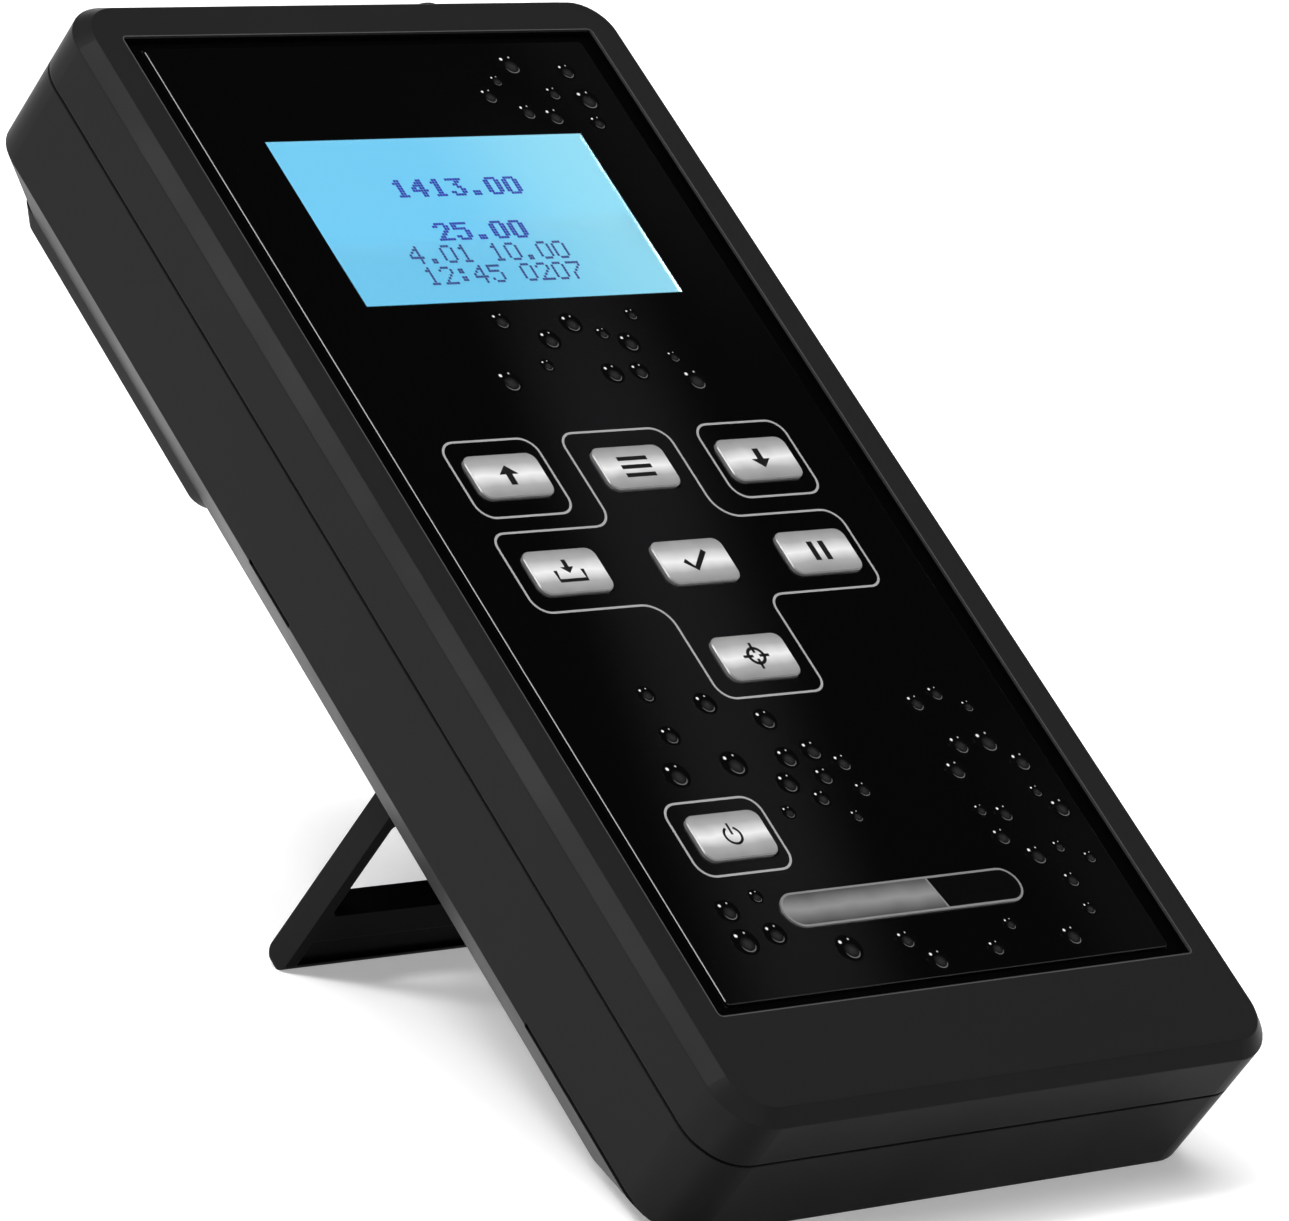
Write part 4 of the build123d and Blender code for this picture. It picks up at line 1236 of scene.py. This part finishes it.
@dataclass(frozen=True)
class SoftBox:
    """A rectangular studio lamp. Where mirrored is False, glossy surfaces don't show it."""

    name: str
    place: Triple
    target: Triple
    size: Point
    watts: float
    mirrored: bool = True

    def hang(self) -> None:
        """Hang the lamp and point it at its target."""
        lamp = bpy.data.lights.new(self.name, "AREA")
        lamp.shape = "RECTANGLE"
        lamp.size, lamp.size_y = self.size
        lamp.energy = self.watts
        holder = bpy.data.objects.new(self.name, lamp)
        holder.location = self.place
        aim = Vector(self.target) - Vector(self.place)
        holder.rotation_euler = aim.to_track_quat("-Z", "Y").to_euler()
        holder.visible_glossy = self.mirrored
        bpy.context.scene.collection.objects.link(holder)


@dataclass
class Studio:
    """Pale bowl of a stage, soft boxes, a dim dome and the camera."""

    floor_rings: tuple[float, ...] = (0.0, 0.6, 1.4)
    floor_radius: float = 2.6
    curve_radius: float = 0.6
    curve_steps: int = 12
    wall_height: float = 1.5
    round_steps: int = 96
    weld: float = 1e-5
    paint: str = "#f4f4f4"
    floor_lift: float = 0.34
    dome_strength: float = 0.03
    lamps: tuple[SoftBox, ...] = (
        SoftBox("top_box", (-0.2, 0.1, 2.2), (0, 0, 0.05), (2.4, 2.4), 64, mirrored=False),
        SoftBox("left_box", (-1.31, 0.115, 1.84), (0, 0, 0.08), (0.6, 0.6), 27))
    camera_place: Triple = (-0.664498, -0.719597, 0.327633)
    camera_turn_deg: Triple = (74.353138, -8.782286, -40.642449)
    camera_reach: Point = (0.05, 20.0)
    lens_mm: float = 204.27
    sensor_mm: float = 36.0

    def floor_mesh(self) -> bpy.types.Mesh:
        """Turn the profile of the floor, its curve and its low wall round the middle.

        Returns:
            The smooth mesh of the stage.
        """
        mesh = bmesh.new()
        profile = [(radius, 0.0) for radius in (*self.floor_rings, self.floor_radius)]
        for step in range(1, self.curve_steps + 1):
            angle = math.radians(90 * step / self.curve_steps)
            profile.append((self.floor_radius + self.curve_radius * math.sin(angle),
                            self.curve_radius * (1 - math.cos(angle))))
        profile.append((self.floor_radius + self.curve_radius, self.wall_height))
        points = [mesh.verts.new((r, 0.0, z)) for r, z in profile]
        edges = [mesh.edges.new(pair) for pair in zip(points, points[1:])]
        bmesh.ops.spin(mesh, geom=points + edges, cent=(0, 0, 0), axis=(0, 0, 1), angle=math.tau,
                       steps=self.round_steps)
        bmesh.ops.remove_doubles(mesh, verts=mesh.verts, dist=self.weld)
        bmesh.ops.recalc_face_normals(mesh, faces=mesh.faces)
        data = bpy.data.meshes.new("stage_floor")
        mesh.to_mesh(data)
        mesh.free()
        for polygon in data.polygons:
            polygon.use_smooth = True
        return data

    def floor_paint(self) -> bpy.types.Material:
        """Mix matt white paint that shows as white to the camera, to gloss and through glass.

        Returns:
            The material of the stage.
        """
        material = bpy.data.materials.new("stage_paint")
        material.use_nodes = True
        tree = material.node_tree
        tree.nodes.clear()
        seen = add(tree, "ShaderNodeLightPath").outputs
        shown = add(tree, "ShaderNodeMath", {0: seen["Is Camera Ray"], 1: seen["Is Glossy Ray"]},
                    operation="MAXIMUM")
        shown = add(tree, "ShaderNodeMath", {0: shown.outputs[0], 1: seen["Is Transmission Ray"]},
                    operation="MAXIMUM")
        lift = add(tree, "ShaderNodeMath", {0: shown.outputs[0], 1: self.floor_lift},
                   operation="MULTIPLY")
        matt = add(tree, "ShaderNodeBsdfDiffuse", {"Color": linear(self.paint)})
        glow = add(tree, "ShaderNodeEmission", {
            "Color": linear("#ffffff"), "Strength": lift.outputs[0]})
        both = add(tree, "ShaderNodeAddShader", {0: matt.outputs[0], 1: glow.outputs[0]})
        add(tree, "ShaderNodeOutputMaterial", {"Surface": both.outputs[0]})
        return material

    def stage(self) -> None:
        """Set the painted floor under the meter."""
        data = self.floor_mesh()
        floor = bpy.data.objects.new("stage_floor", data)
        bpy.context.scene.collection.objects.link(floor)
        data.materials.append(self.floor_paint())

    def dome(self) -> None:
        """Set a dim grey dome over the stage."""
        world = bpy.data.worlds.new("studio_dome")
        world.use_nodes = True
        tree = world.node_tree
        tree.nodes.clear()
        back = add(tree, "ShaderNodeBackground", {
            "Color": linear("#ffffff"), "Strength": self.dome_strength})
        add(tree, "ShaderNodeOutputWorld", {"Surface": back.outputs[0]})
        bpy.context.scene.world = world

    def camera(self) -> None:
        """Place the camera where the photographer stood."""
        lens = bpy.data.cameras.new("camera")
        lens.sensor_width = self.sensor_mm
        lens.lens = self.lens_mm
        lens.clip_start, lens.clip_end = self.camera_reach
        holder = bpy.data.objects.new("camera", lens)
        holder.location = self.camera_place
        holder.rotation_euler = [math.radians(a) for a in self.camera_turn_deg]
        bpy.context.scene.collection.objects.link(holder)
        bpy.context.scene.camera = holder

    def build(self) -> None:
        """Set the camera, stage, dome and lamps."""
        self.camera()
        self.stage()
        self.dome()
        for lamp in self.lamps:
            lamp.hang()
        bpy.context.scene.view_settings.view_transform = "Standard"


def main() -> None:
    """Build the studio and every sub-assembly, and report each piece."""
    logging.basicConfig(level=logging.INFO, format="%(message)s")
    for part in (Studio(), Casing(), Panel(), Keypad(), Display(), Electronics(), Sockets(),
                 Support()):
        LOG.info("building %s", type(part).__name__)
        part.build()


if __name__ == "__main__":
    main()
